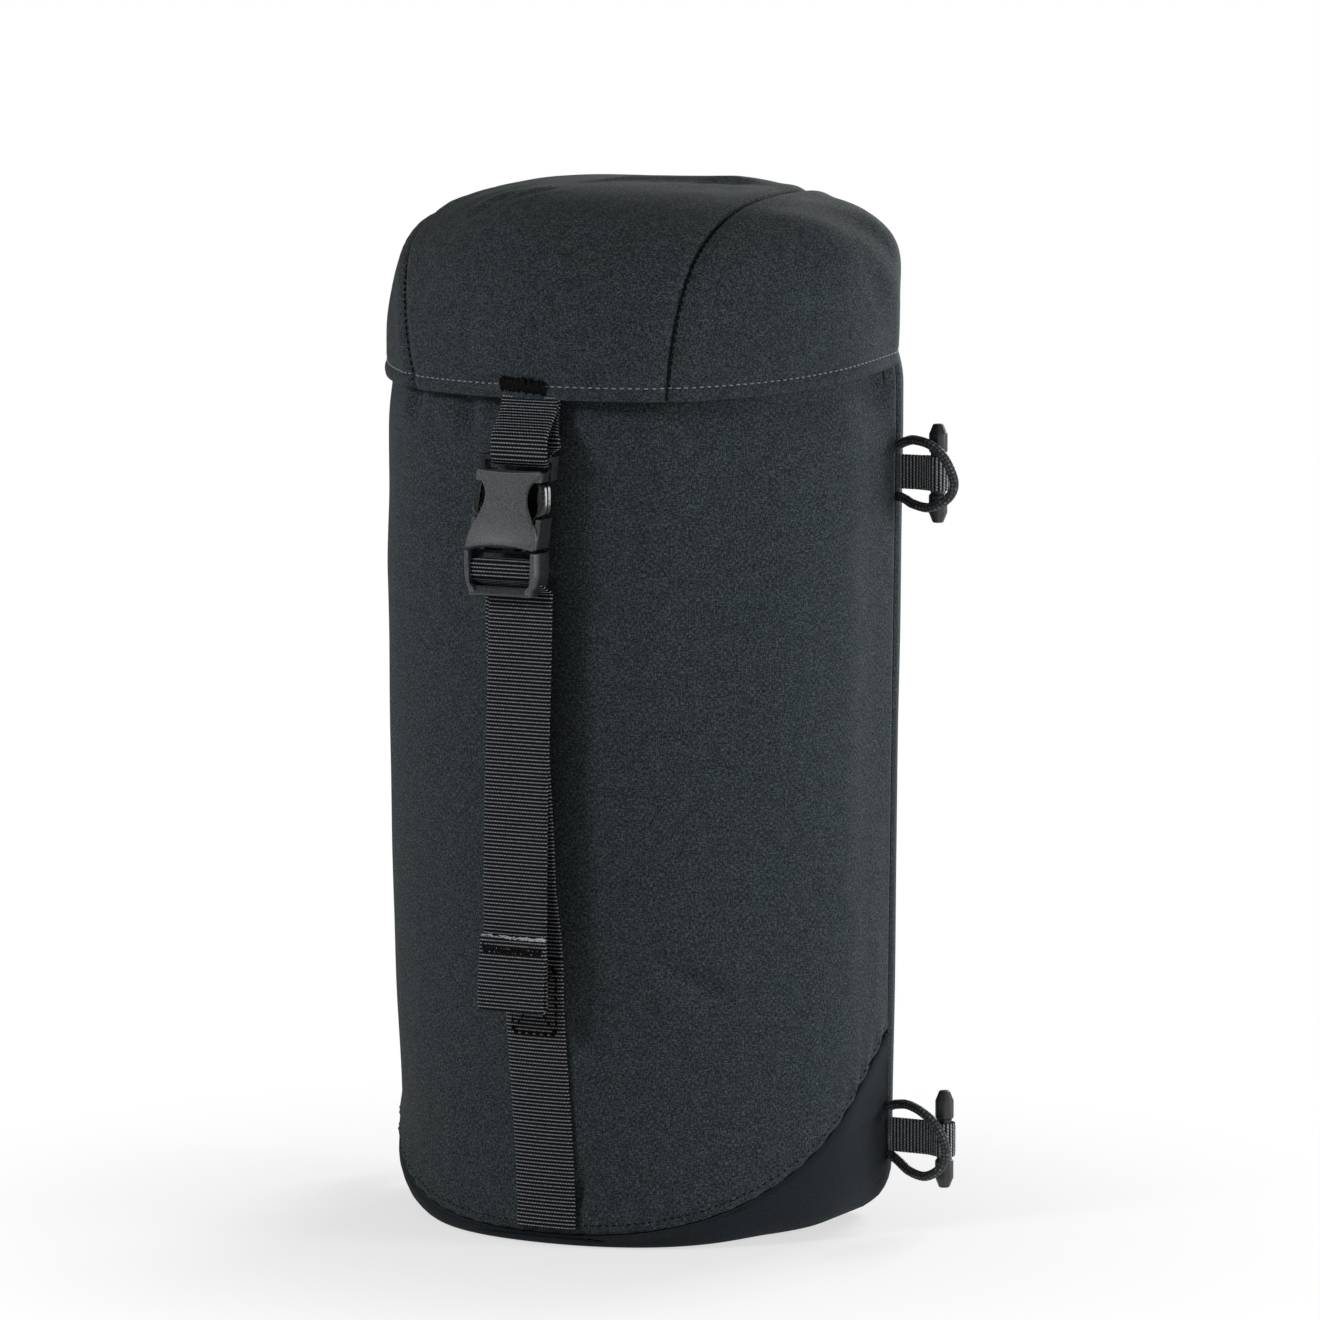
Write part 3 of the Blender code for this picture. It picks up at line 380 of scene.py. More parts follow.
def hem(y):
    """Height of the lid's hem."""
    return HEM_FRONT + (HEM_BACK - HEM_FRONT) * smooth((y - FRONT_Y) / DEPTH)


def shoulder(y):
    """Height where the lid's skirt turns into its dome."""
    return HEM_FRONT + FRONT_SHOULDER + (BACK_SHOULDER - FRONT_SHOULDER) * smooth((y - FRONT_Y) / DEPTH)


def lid_seam(x, z):
    """Distance of points from the nearer of the lid's two seams."""
    gaps = [np.abs(x - foot - flare * (z - HEM_FRONT)) / math.hypot(1.0, flare)
            for foot, flare in LID_SEAMS.values()]
    return np.minimum(*gaps)


def lid_draw(x, up):
    """How far the lid's sides are drawn in toward the pocket above the hem."""
    side = smooth((np.abs(x) - 0.035) / 0.035)
    return np.where(x > 0, LID_DRAW_RIGHT, LID_DRAW_LEFT) * side * (1 - smooth((up - 0.020) / 0.022))


# Meshes

def grid_faces(rows, columns, wrap):
    """Four-sided faces over a grid of points."""
    i = np.arange(rows - 1)[:, None]
    j = np.arange(columns if wrap else columns - 1)[None, :]
    k = (j + 1) % columns
    faces = np.stack([i * columns + j, i * columns + k, (i + 1) * columns + k, (i + 1) * columns + j], -1)
    return faces.reshape(-1, 4)


def tube_faces(rings, sides):
    """Faces of a closed tube: its wall and both of its ends."""
    last = (rings - 1) * sides
    return [*grid_faces(rings, sides, True).tolist(), list(range(sides)), list(range(last, last + sides))]


def full_turn(sides):
    """Even angles round a circle."""
    return np.arange(sides) * 2 * np.pi / sides


def placed(name, data):
    """A new object in the scene."""
    obj = bpy.data.objects.new(name, data)
    bpy.context.scene.collection.objects.link(obj)
    return obj


def piece(name, points, faces, finish, weave=None):
    """A new object with faces turned outward, and cloth coordinates in millimetres."""
    mesh = bpy.data.meshes.new(name)
    mesh.from_pydata(np.reshape(points, (-1, 3)).tolist(), [], faces)
    if weave is not None:
        layer = mesh.attributes.new("weave", "FLOAT_VECTOR", "POINT")
        layer.data.foreach_set("vector", np.asarray(weave, np.float32).ravel())
    work = bmesh.new()
    work.from_mesh(mesh)
    bmesh.ops.recalc_face_normals(work, faces=work.faces)
    work.to_mesh(mesh)
    work.free()
    mesh.materials.append(finish)
    mesh.shade_smooth()
    return placed(name, mesh)


def dress(obj, body=None, nodes=()):
    """Gives a piece its body, and hides the solids that it stands for."""
    if body:
        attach(obj, body)
    if nodes:
        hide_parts(*nodes)


def facing(grid, wrap):
    """Outward directions over a grid whose columns run to the right and rows run up."""
    across = (np.roll(grid, -1, 1) - np.roll(grid, 1, 1)) if wrap else np.gradient(grid, axis=1)
    return unit(np.cross(across, np.gradient(grid, axis=0)))


def in_mm(u, v):
    """Cloth coordinates in millimetres."""
    u, v = np.broadcast_arrays(u, v)
    return np.stack([u / MM, v / MM, 0 * u], -1)


def cloth_slab(name, outer, thick, finish, weave, wrap=False, closed_foot=False):
    """A closed sheet of cloth: its outer grid, the same grid set in by the thickness, and its edges."""
    rows, columns = outer.shape[:2]
    inner = outer - facing(outer, wrap) * thick
    count = rows * columns
    skin = grid_faces(rows, columns, wrap)
    faces = [*skin.tolist(), *(skin[:, ::-1] + count).tolist()]
    index = np.arange(count).reshape(rows, columns)
    rings = [index[-1]]
    if closed_foot:
        faces.append(index[0].tolist())
        faces.append((index[0] + count).tolist())
    else:
        rings.append(index[0])
    if wrap:
        borders = [np.append(ring, ring[0]) for ring in rings]
    else:
        borders = [*rings, index[:, 0], index[:, -1]]
    for border in borders:
        faces += [[a, b, b + count, a + count] for a, b in zip(border.tolist(), border[1:].tolist())]
    return piece(name, [outer, inner], faces, finish, [weave, weave])


def braided_tube(name, line, radius, sides, finish):
    """A closed tube along a line, with a raised braid."""
    along = unit(np.gradient(line, axis=0))
    first = unit(np.cross(along, np.array([0.31, 0.86, 0.41])))
    second = np.cross(along, first)
    gone = travel(line)[:, None]
    angle = full_turn(sides)
    strand, twist = BRAID_STRANDS * angle, BRAID_TURN * gone
    reach = radius + BRAID_HEIGHT * np.sin(strand + twist) * np.sin(strand - twist)
    ring = np.cos(angle)[:, None] * first[:, None] + np.sin(angle)[:, None] * second[:, None]
    points = line[:, None] + ring * reach[..., None]
    return piece(name, points, tube_faces(len(line), sides), finish, in_mm(angle * MM, gone))


def ribbon(name, middle, across, width, thick, finish, sag=None):
    """Ribbed webbing along a line: across is its width's direction, and sag bows it from edge to edge."""
    size = sizes()
    rib_rows, columns = 4, 27
    line, gone = even_steps(middle, size.rib / rib_rows)
    along = unit(np.gradient(line, axis=0))
    side = np.broadcast_to(np.asarray(across, float), line.shape)
    face = unit(np.cross(side, along))
    u = np.linspace(-0.5, 0.5, columns) * width
    edge = np.sqrt(np.clip(1 - (2 * np.abs(u) / width) ** 8, 0.0, 1.0))
    rib = np.abs(np.sin(np.pi * gone / size.rib)) ** 0.7
    half = thick / 2 * (0.35 + 0.65 * edge) - size.rib_height * (1 - rib[:, None]) * (0.4 + 0.6 * edge)
    ragged = 1 + 0.010 * np.sin(2 * np.pi * gone / size.rib)[:, None]
    spread = line[:, None] + side[:, None] * (u * ragged)[..., None]
    if sag is not None:
        spread = spread + sag(u, line)
    front = spread + face[:, None] * half[..., None]
    back = spread - face[:, None] * half[..., None]
    loop = np.concatenate([front, back[:, ::-1]], 1)
    around_u = np.concatenate([u, u[::-1]])
    rows, count = loop.shape[:2]
    faces = grid_faces(rows, count, True).tolist()
    for row in (0, rows - 1):
        at = row * count
        faces += [[at + k, at + k + 1, at + count - 2 - k, at + count - 1 - k] for k in range(columns - 1)]
    return piece(name, loop, faces, finish, in_mm(around_u, gone[:, None]))


def stitches(name, places, along, out, long, radius, finish):
    """Short raised stitches, each bowed so that both its ends go into the cloth."""
    rings, sides = 7, 6
    t = np.linspace(-1.0, 1.0, rings)
    angle = full_turn(sides)
    swell = radius * np.sqrt(np.clip(1.02 - t ** 4, 0.0, 1.0))
    lift = radius * (0.55 - 1.5 * t ** 2)
    points, faces = [], []
    cell = tube_faces(rings, sides)
    for place, way, up in zip(places, along, out):
        third = np.cross(way, up)
        line = place + way * (t * long / 2)[:, None] + up * lift[:, None]
        ring = np.cos(angle)[:, None] * up + np.sin(angle)[:, None] * third
        first = len(points) * rings * sides
        points.append(line[:, None] + ring * swell[:, None, None])
        faces += [[corner + first for corner in face] for face in cell]
    return piece(name, points, faces, finish)


def surface_of(*names):
    """A search tree over the faces of pieces."""
    points, faces = [], []
    for name in names:
        mesh = bpy.data.objects[name].data
        first = len(points)
        points += [tuple(v.co) for v in mesh.vertices]
        faces += [tuple(i + first for i in p.vertices) for p in mesh.polygons]
    return BVHTree.FromPolygons(points, faces)


def landed(tree, points, ways):
    """Where rays from points land on a surface, and its outward directions there. Rays may share one way."""
    places, out = [], []
    for point, way in zip(points, np.broadcast_to(ways, np.shape(points))):
        hit, normal, _, _ = tree.ray_cast(Vector(point), Vector(way))
        if hit is None:
            raise RuntimeError(f"no cloth lies under the point {tuple(point)}")
        places.append(hit)
        out.append(-normal if normal.dot(Vector(way)) > 0 else normal)
    return np.array(places), np.array(out)


def lid_surface():
    """A search tree over the lid's three panels."""
    return surface_of(*[f"lid_{name}_cloth" for name in LID_PANELS])


def sewn_row(name, body, places, along, out, thread, finer=1.0):
    """A row of stitches of the set size, riding on a body."""
    size = sizes()
    row = stitches(name, places, along, out, size.stitch, size.thread * finer, finish_of(thread))
    dress(row, body)


# Materials

# Real sizes of what is uneven in them, in millimetres, with slubs counted along one yarn
SLUBS = 1.35
HEATHER, CLOTH_PATCH, TWILL_PATCH = 4.545, 16.67, 0.7143
WEB_SPECK, TAPE_PATCH, CORD_FLECK, THREAD_TWIST = 0.9091, 1.1111, 1.1111, 0.625


def feed(tree, node, links):
    """Links sockets of a node to what feeds each: an output, or a node for its first output."""
    for socket, source in links.items():
        output = source.outputs[0] if isinstance(source, bpy.types.Node) else source
        tree.links.new(output, node.inputs[socket])


def add_node(tree, kind, settings=None, links=None):
    """One shader node with its settings and what feeds it."""
    node = tree.nodes.new(f"ShaderNode{kind}")
    for key, value in (settings or {}).items():
        if isinstance(key, int) or key in node.inputs:
            node.inputs[key].default_value = value
        else:
            setattr(node, key, value)
    feed(tree, node, links or {})
    return node


def new_finish(name, settings):
    """A material with a principled shader, and its node tree."""
    finish = bpy.data.materials.new(name)
    finish.use_nodes = True
    shader = finish.node_tree.nodes["Principled BSDF"]
    for key, value in settings.items():
        shader.inputs[key].default_value = value
    return finish, finish.node_tree, shader


def rgba(value):
    """A colour with full cover."""
    return (*value, 1.0)


def cloth_place(tree):
    """A piece's cloth coordinates in millimetres: all together, then the first two alone."""
    weave = add_node(tree, "Attribute", {"attribute_name": "weave"}).outputs["Vector"]
    parts = add_node(tree, "SeparateXYZ", {}, {0: weave})
    return weave, parts.outputs[0], parts.outputs[1]


def waves(tree, value, spacing):
    """A sine over a length in millimetres, 0 at every multiple of a spacing in metres."""
    turned = add_node(tree, "Math", {"operation": "MULTIPLY", 1: math.pi * MM / spacing}, {0: value})
    return add_node(tree, "Math", {"operation": "SINE"}, {0: turned})


def ridges(tree, value, spacing):
    """Round ridges over a length, 0 in the gaps and 1 on the tops."""
    return add_node(tree, "Math", {"operation": "ABSOLUTE"}, {0: waves(tree, value, spacing)})


def two_tones(tree, shader, dark, pale, share, height, strength, depth):
    """Colours a finish from dark to pale by a share, and raises it by a height."""
    mixed = add_node(tree, "Mix", {"data_type": "RGBA", 6: rgba(dark), 7: rgba(pale)}, {"Factor": share})
    bump = add_node(tree, "Bump", {"Strength": strength, "Distance": depth}, {"Height": height})
    feed(tree, shader, {"Base Color": mixed.outputs[2], "Normal": bump})


def woven_cloth():
    """Polyester and cotton plain weave, proofed: dull and slightly heathered, with a soft pale sheen at its
    edges. Real yarns of about 0.3 mm are too fine to show, so they are drawn at about twice that."""
    tint, yarn = colours(), sizes().yarn
    finish, tree, shader = new_finish("proofed_plain_weave_cloth", {
        "Roughness": 0.90, "Specular IOR Level": 0.16, "Sheen Weight": 0.04, "Sheen Roughness": 0.45})
    weave, u, v = cloth_place(tree)
    across, along = waves(tree, u, yarn), waves(tree, v, yarn)
    both = add_node(tree, "Math", {"operation": "MULTIPLY"}, {0: across, 1: along})
    over = add_node(tree, "Math", {"operation": "GREATER_THAN", 1: 0.0}, {0: both})
    tones = []
    for stretch in ((1.0, 0.4), (0.4, 1.0)):
        scale = (stretch[0] * MM / yarn, stretch[1] * MM / yarn, 1.0)
        mapped = add_node(tree, "Mapping", {"Scale": scale}, {"Vector": weave})
        tones.append(add_node(tree, "TexNoise", {"Scale": SLUBS, "Detail": 1.0}, {"Vector": mapped}))
    slub = add_node(tree, "Mix", {}, {"Factor": over, 2: tones[0], 3: tones[1]})
    heather = add_node(tree, "TexNoise", {"Scale": 1 / HEATHER, "Detail": 3.0}, {"Vector": weave})
    shade = add_node(tree, "Math", {"operation": "MULTIPLY_ADD", 1: 0.14}, {0: heather, 2: slub})
    ramp = add_node(tree, "ValToRGB", {}, {"Fac": shade})
    stops = ramp.color_ramp.elements
    stops[0].position, stops[0].color = 0.38, rgba(tint.cloth_dark)
    stops[1].position, stops[1].color = 0.78, rgba(tint.cloth_pale)
    middle = stops.new(0.57)
    middle.color = rgba(tint.cloth)
    patches = add_node(tree, "TexNoise", {"Scale": 1 / CLOTH_PATCH, "Detail": 3.0}, {"Vector": weave})
    product = {"data_type": "RGBA", "blend_type": "MULTIPLY"}
    warm = {6: (1.0, 1.0, 1.0, 1.0), 7: (1.10, 1.0, 0.98, 1.0)}
    cast = add_node(tree, "Mix", {**product, **warm}, {"Factor": patches})
    worn = add_node(tree, "Mix", {**product, "Factor": 1.0}, {6: ramp, 7: cast.outputs[2]})
    height = add_node(tree, "Math", {"operation": "ABSOLUTE"}, {0: both})
    thread = add_node(tree, "Math", {"operation": "MULTIPLY_ADD", 1: 1.4}, {0: slub, 2: height})
    bump = add_node(tree, "Bump", {"Strength": 0.35, "Distance": 0.00012}, {"Height": thread})
    feed(tree, shader, {"Base Color": worn.outputs[2], "Normal": bump})
    return finish


def twill_cloth():
    """Heavy polyester twill, coated: near black, with fine diagonal ribs whose tops are painted paler as a
    painted highlight.
    """
    tint = colours()
    finish, tree, shader = new_finish("coated_polyester_twill", {
        "Roughness": 0.85, "Specular IOR Level": 0.14})
    weave, u, v = cloth_place(tree)
    slant = add_node(tree, "Math", {"operation": "ADD"}, {0: u, 1: v})
    rise = ridges(tree, slant, sizes().twill)
    uneven = add_node(tree, "TexNoise", {"Scale": 1 / TWILL_PATCH, "Detail": 2.0}, {"Vector": weave})
    tone = add_node(tree, "Math", {"operation": "MULTIPLY"}, {0: rise, 1: uneven})
    # Painted highlight: the rib tops take the paler colour
    two_tones(tree, shader, tint.base, tint.base_rib_highlight, tone, rise, 0.5, 0.0002)
    return finish


def nylon_webbing(name, sharp, spotted):
    """Woven nylon webbing, each rib a row of small round yarns: the rib tops are painted pale and speckled as
    a painted highlight, and the gaps between them near black as painted shade. The narrow webbing of the tabs
    has fuller ribs, painted paler still for light that the tabs don't get."""
    tint, size = colours(), sizes()
    finish, tree, shader = new_finish(name, {"Roughness": 0.78, "Specular IOR Level": 0.12})
    weave, u, v = cloth_place(tree)
    rib = ridges(tree, v, size.rib)
    lean = add_node(tree, "Math", {"operation": "MULTIPLY_ADD", 1: 0.5}, {0: v, 2: u})
    bead = ridges(tree, lean, size.bead)
    # The narrow crest of each rib carries the painted highlight
    crest = add_node(tree, "Math", {"operation": "POWER", 1: sharp}, {0: rib})
    spot = add_node(tree, "Math", {"operation": "MULTIPLY_ADD", 1: 0.9, 2: spotted}, {0: bead})
    lit = add_node(tree, "Math", {"operation": "MULTIPLY"}, {0: crest, 1: spot})
    # Speck noise makes the painted highlight uneven along the ribs
    speck = add_node(tree, "TexNoise", {"Scale": 1 / WEB_SPECK, "Detail": 3.0}, {"Vector": weave})
    worn = add_node(tree, "MapRange", {"From Min": 0.25, "From Max": 0.75, "To Min": 0.45, "To Max": 1.15},
                    {"Value": speck})
    tone = add_node(tree, "Math", {"operation": "MULTIPLY"}, {0: lit, 1: worn})
    two_tones(tree, shader, tint.rib_gap_shade, tint.web, tone, lit, 0.6, 0.00015)
    return finish


def binding_tape():
    """Flat polyester tape: close plain ribs, dark and slightly silky; the gaps between the ribs are painted
    near black as painted shade.
    """
    tint = colours()
    finish, tree, shader = new_finish("polyester_binding_tape", {
        "Roughness": 0.68, "Specular IOR Level": 0.35, "Sheen Weight": 0.08})
    weave, u, _ = cloth_place(tree)
    rib = ridges(tree, u, sizes().rib * 0.7)
    uneven = add_node(tree, "TexNoise", {"Scale": 1 / TAPE_PATCH, "Detail": 2.0}, {"Vector": weave})
    tone = add_node(tree, "Math", {"operation": "MULTIPLY"}, {0: rib, 1: uneven})
    # Painted shade: the gaps between the tape's ribs take the near-black colour
    two_tones(tree, shader, tint.rib_gap_shade, tint.tape, tone, rib, 0.4, 0.00015)
    return finish


def moulded_acetal(name, dull, grain, shade, recess_shade=1.0):
    """Injection-moulded acetal: dark grey with a dull shine and a fine grit. Its edges are painted paler as a
    painted highlight, and what is set back from its front is painted darker, with less shine, as painted
    shade.
    The prongs' pads are polished by use and shine in narrow streaks; their colour is painted darker still, as
    the shade inside the socket's side windows."""
    tint = colours()
    dark, pale = [rgba([shade * channel for channel in tone]) for tone in (tint.plastic, tint.plastic_grit_and_edge_highlight)]
    finish, tree, shader = new_finish(name, {"IOR": 1.5})
    place = add_node(tree, "TexCoord").outputs["Object"]
    grit = add_node(tree, "TexNoise", {"Scale": 1 / sizes().grit, "Detail": 2.0}, {"Vector": place})
    rough = add_node(tree, "MapRange", {
        "From Min": 0.3, "From Max": 0.7, "To Min": dull[0], "To Max": dull[1]}, {"Value": grit})
    edge = add_node(tree, "NewGeometry").outputs["Pointiness"]
    # Painted highlight: sharp convex edges are coloured paler
    edge_highlight = add_node(tree, "MapRange", {"From Min": 0.52, "From Max": 0.62, "To Max": 0.9}, {"Value": edge})
    speckle = add_node(tree, "MapRange", {
        "From Min": 0.38, "From Max": 0.68, "To Max": grain}, {"Value": grit})
    share = add_node(tree, "Math", {"operation": "MAXIMUM"}, {0: edge_highlight, 1: speckle})
    mixed = add_node(tree, "Mix", {"data_type": "RGBA", 6: dark, 7: pale}, {"Factor": share})
    # Painted shade: colour and shine are lowered with depth behind the front face, as in a recess
    behind = add_node(tree, "Attribute", {"attribute_name": "set_back"}).outputs["Fac"]
    painted_recess_shade = add_node(tree, "MapRange", {"From Min": 1.0, "From Max": 2.8, "To Min": 1.0, "To Max": recess_shade},
                    {"Value": behind})
    recess_shaded_colour = add_node(tree, "VectorMath", {"operation": "SCALE"}, {0: mixed.outputs[2], "Scale": painted_recess_shade})
    shine = add_node(tree, "Math", {"operation": "MULTIPLY", 1: 0.5}, {0: painted_recess_shade})
    bump = add_node(tree, "Bump", {"Strength": 0.5 * grain, "Distance": 0.00015}, {"Height": grit})
    feed(tree, shader, {"Base Color": recess_shaded_colour, "Roughness": rough, "Specular IOR Level": shine, "Normal": bump})
    return finish


def sewing_thread(name, tint, roughness):
    """Bonded polyester thread: a tight twist with a faint shine."""
    finish, tree, shader = new_finish(name, {"Roughness": roughness, "Specular IOR Level": 0.08})
    place = add_node(tree, "TexCoord").outputs["Object"]
    twist = add_node(tree, "TexNoise", {"Scale": 1 / (THREAD_TWIST * MM), "Detail": 1.0}, {"Vector": place})
    dark, pale = [[min(1.0, channel * level) for channel in tint] for level in (0.6, 1.25)]
    two_tones(tree, shader, dark, pale, twist, twist, 0.4, 0.0001)
    return finish


def braided_cover():
    """Braided polyester cover on elastic cord: a diamond braid, dark, with pale flecks where yarns cross."""
    tint = colours()
    finish, tree, shader = new_finish("braided_elastic_cord", {
        "Roughness": 0.66, "Specular IOR Level": 0.35, "Sheen Weight": 0.08})
    weave, u, v = cloth_place(tree)
    strand = add_node(tree, "Math", {"operation": "MULTIPLY", 1: BRAID_STRANDS}, {0: u})
    lay = []
    for twist in (BRAID_TURN * MM, -BRAID_TURN * MM):
        turned = add_node(tree, "Math", {"operation": "MULTIPLY_ADD", 1: twist}, {0: v, 2: strand})
        lay.append(add_node(tree, "Math", {"operation": "SINE"}, {0: turned}))
    cross = add_node(tree, "Math", {"operation": "MULTIPLY"}, {0: lay[0], 1: lay[1]})
    fleck = add_node(tree, "TexNoise", {"Scale": 1 / CORD_FLECK, "Detail": 2.0}, {"Vector": weave})
    spots = add_node(tree, "MapRange", {"From Min": 0.42, "From Max": 0.68}, {"Value": fleck})
    tone = add_node(tree, "Math", {"operation": "MULTIPLY", "use_clamp": True}, {0: cross, 1: spots})
    two_tones(tree, shader, tint.cord, tint.cord_pale, tone, cross, 0.6, 0.0002)
    return finish


def studio_floor():
    """Matt white paper: lit and shaded near the pocket, plain white to the eye further off."""
    finish, tree, shader = new_finish("studio_paper", {"Base Color": rgba(colours().floor), "Roughness": 0.9})
    place = add_node(tree, "TexCoord").outputs["Object"]
    away = add_node(tree, "VectorMath", {"operation": "LENGTH"}, {0: place}).outputs["Value"]
    fade = {"From Min": 0.06, "From Max": 0.26, "To Min": 0.62, "interpolation_type": "SMOOTHSTEP"}
    far = add_node(tree, "MapRange", fade, {"Value": away})
    path = add_node(tree, "LightPath").outputs
    seen = add_node(tree, "Math", {"operation": "ADD", "use_clamp": True},
                    {0: path["Is Camera Ray"], 1: path["Is Glossy Ray"]})
    share = add_node(tree, "Math", {"operation": "MULTIPLY"}, {0: far, 1: seen})
    white = add_node(tree, "Emission", {"Color": (1.0, 1.0, 1.0, 1.0), "Strength": 1.0})
    mixed = add_node(tree, "MixShader", {}, {0: share, 1: shader, 2: white})
    feed(tree, tree.nodes["Material Output"], {"Surface": mixed})
    return finish


FINISHES = {
    "cloth": woven_cloth,
    "twill": twill_cloth,
    "webbing": lambda: nylon_webbing("woven_nylon_webbing", sharp=12.0, spotted=0.1),
    # The tabs' copy has paler, fuller ribs, painted lighter for light that the tabs don't get
    "tab_webbing": lambda: nylon_webbing("narrow_nylon_webbing", sharp=3.0, spotted=0.3),
    "tape": binding_tape,
    # The buckle's set-back parts are painted darker, down to the recess factor, as painted shade
    "plastic": lambda: moulded_acetal("moulded_acetal", dull=(0.38, 0.56), grain=0.9, shade=0.84, recess_shade=0.3),
    # The prongs' pads are polished, and their colour is painted very dark as the shade inside the socket's
    # windows
    "polished": lambda: moulded_acetal("polished_acetal", dull=(0.16, 0.22), grain=0.1, shade=0.15),
    "toggle": lambda: moulded_acetal("moulded_nylon", dull=(0.40, 0.55), grain=0.4, shade=0.4),
    "cord": braided_cover,
    "floor": studio_floor,
    "pale_thread": lambda: sewing_thread("pale_sewing_thread", colours().thread, roughness=0.6),
    "fibre": lambda: sewing_thread("frayed_nylon_fibre", colours().fibre, roughness=0.6),
    "dark_thread": lambda: sewing_thread("dark_sewing_thread", colours().thread_dark, roughness=0.5),
}
MADE = {}


def finish_of(kind):
    """The material of a kind, made once."""
    if kind not in MADE:
        MADE[kind] = FINISHES[kind]()
    return MADE[kind]


# Sewn body

# Panels stop just short of each other, are pinched in along their seams and lie taut near them
PANEL_GAP, SEAM_INSET = 0.0002, 0.006
GROOVE, GROOVE_WIDTH, TAUT = 0.0007, 0.0013, 0.012
# Folds in the front: where each starts and ends round the section and up, its depth and its width
BODY_CREASES = [
    ((0.034, 0.092), (0.066, 0.071), 0.0017, 0.0035), ((0.086, 0.104), (0.106, 0.096), 0.0010, 0.0040),
    ((-0.027, 0.258), (-0.0225, 0.244), 0.0022, 0.0032), ((-0.054, 0.258), (-0.050, 0.247), 0.0017, 0.0032),
    ((-0.046, 0.248), (-0.030, 0.240), 0.0009, 0.0030), ((0.010, 0.010), (0.018, 0.024), 0.0014, 0.0030),
]


def body_waves(u, z):
    """How far the filled cloth stands out from or into the plain wall."""
    slack = sizes().slack
    wave = slack * crumple(u, z, 0.062, 0.085, 3) + 0.4 * slack * crumple(u, z, 0.024, 0.036, 4)
    wave += 0.35 * slack * crumple(u, z, 0.013, 0.11, 5)
    wave += sum(crease(u, z, *fold) for fold in BODY_CREASES)
    wave += 0.0012 * hump(u + 0.088, 0.030) * smooth((z - 0.03) / 0.05) * (1 - smooth((z - 0.195) / 0.03))
    tucked = 0.0034 - 0.0018 * smooth((-u - 0.060) / 0.030) + 0.0010 * smooth((u - 0.060) / 0.030)
    wave -= tucked * hump(z - HEM_FRONT - 0.004, 0.011)
    return wave


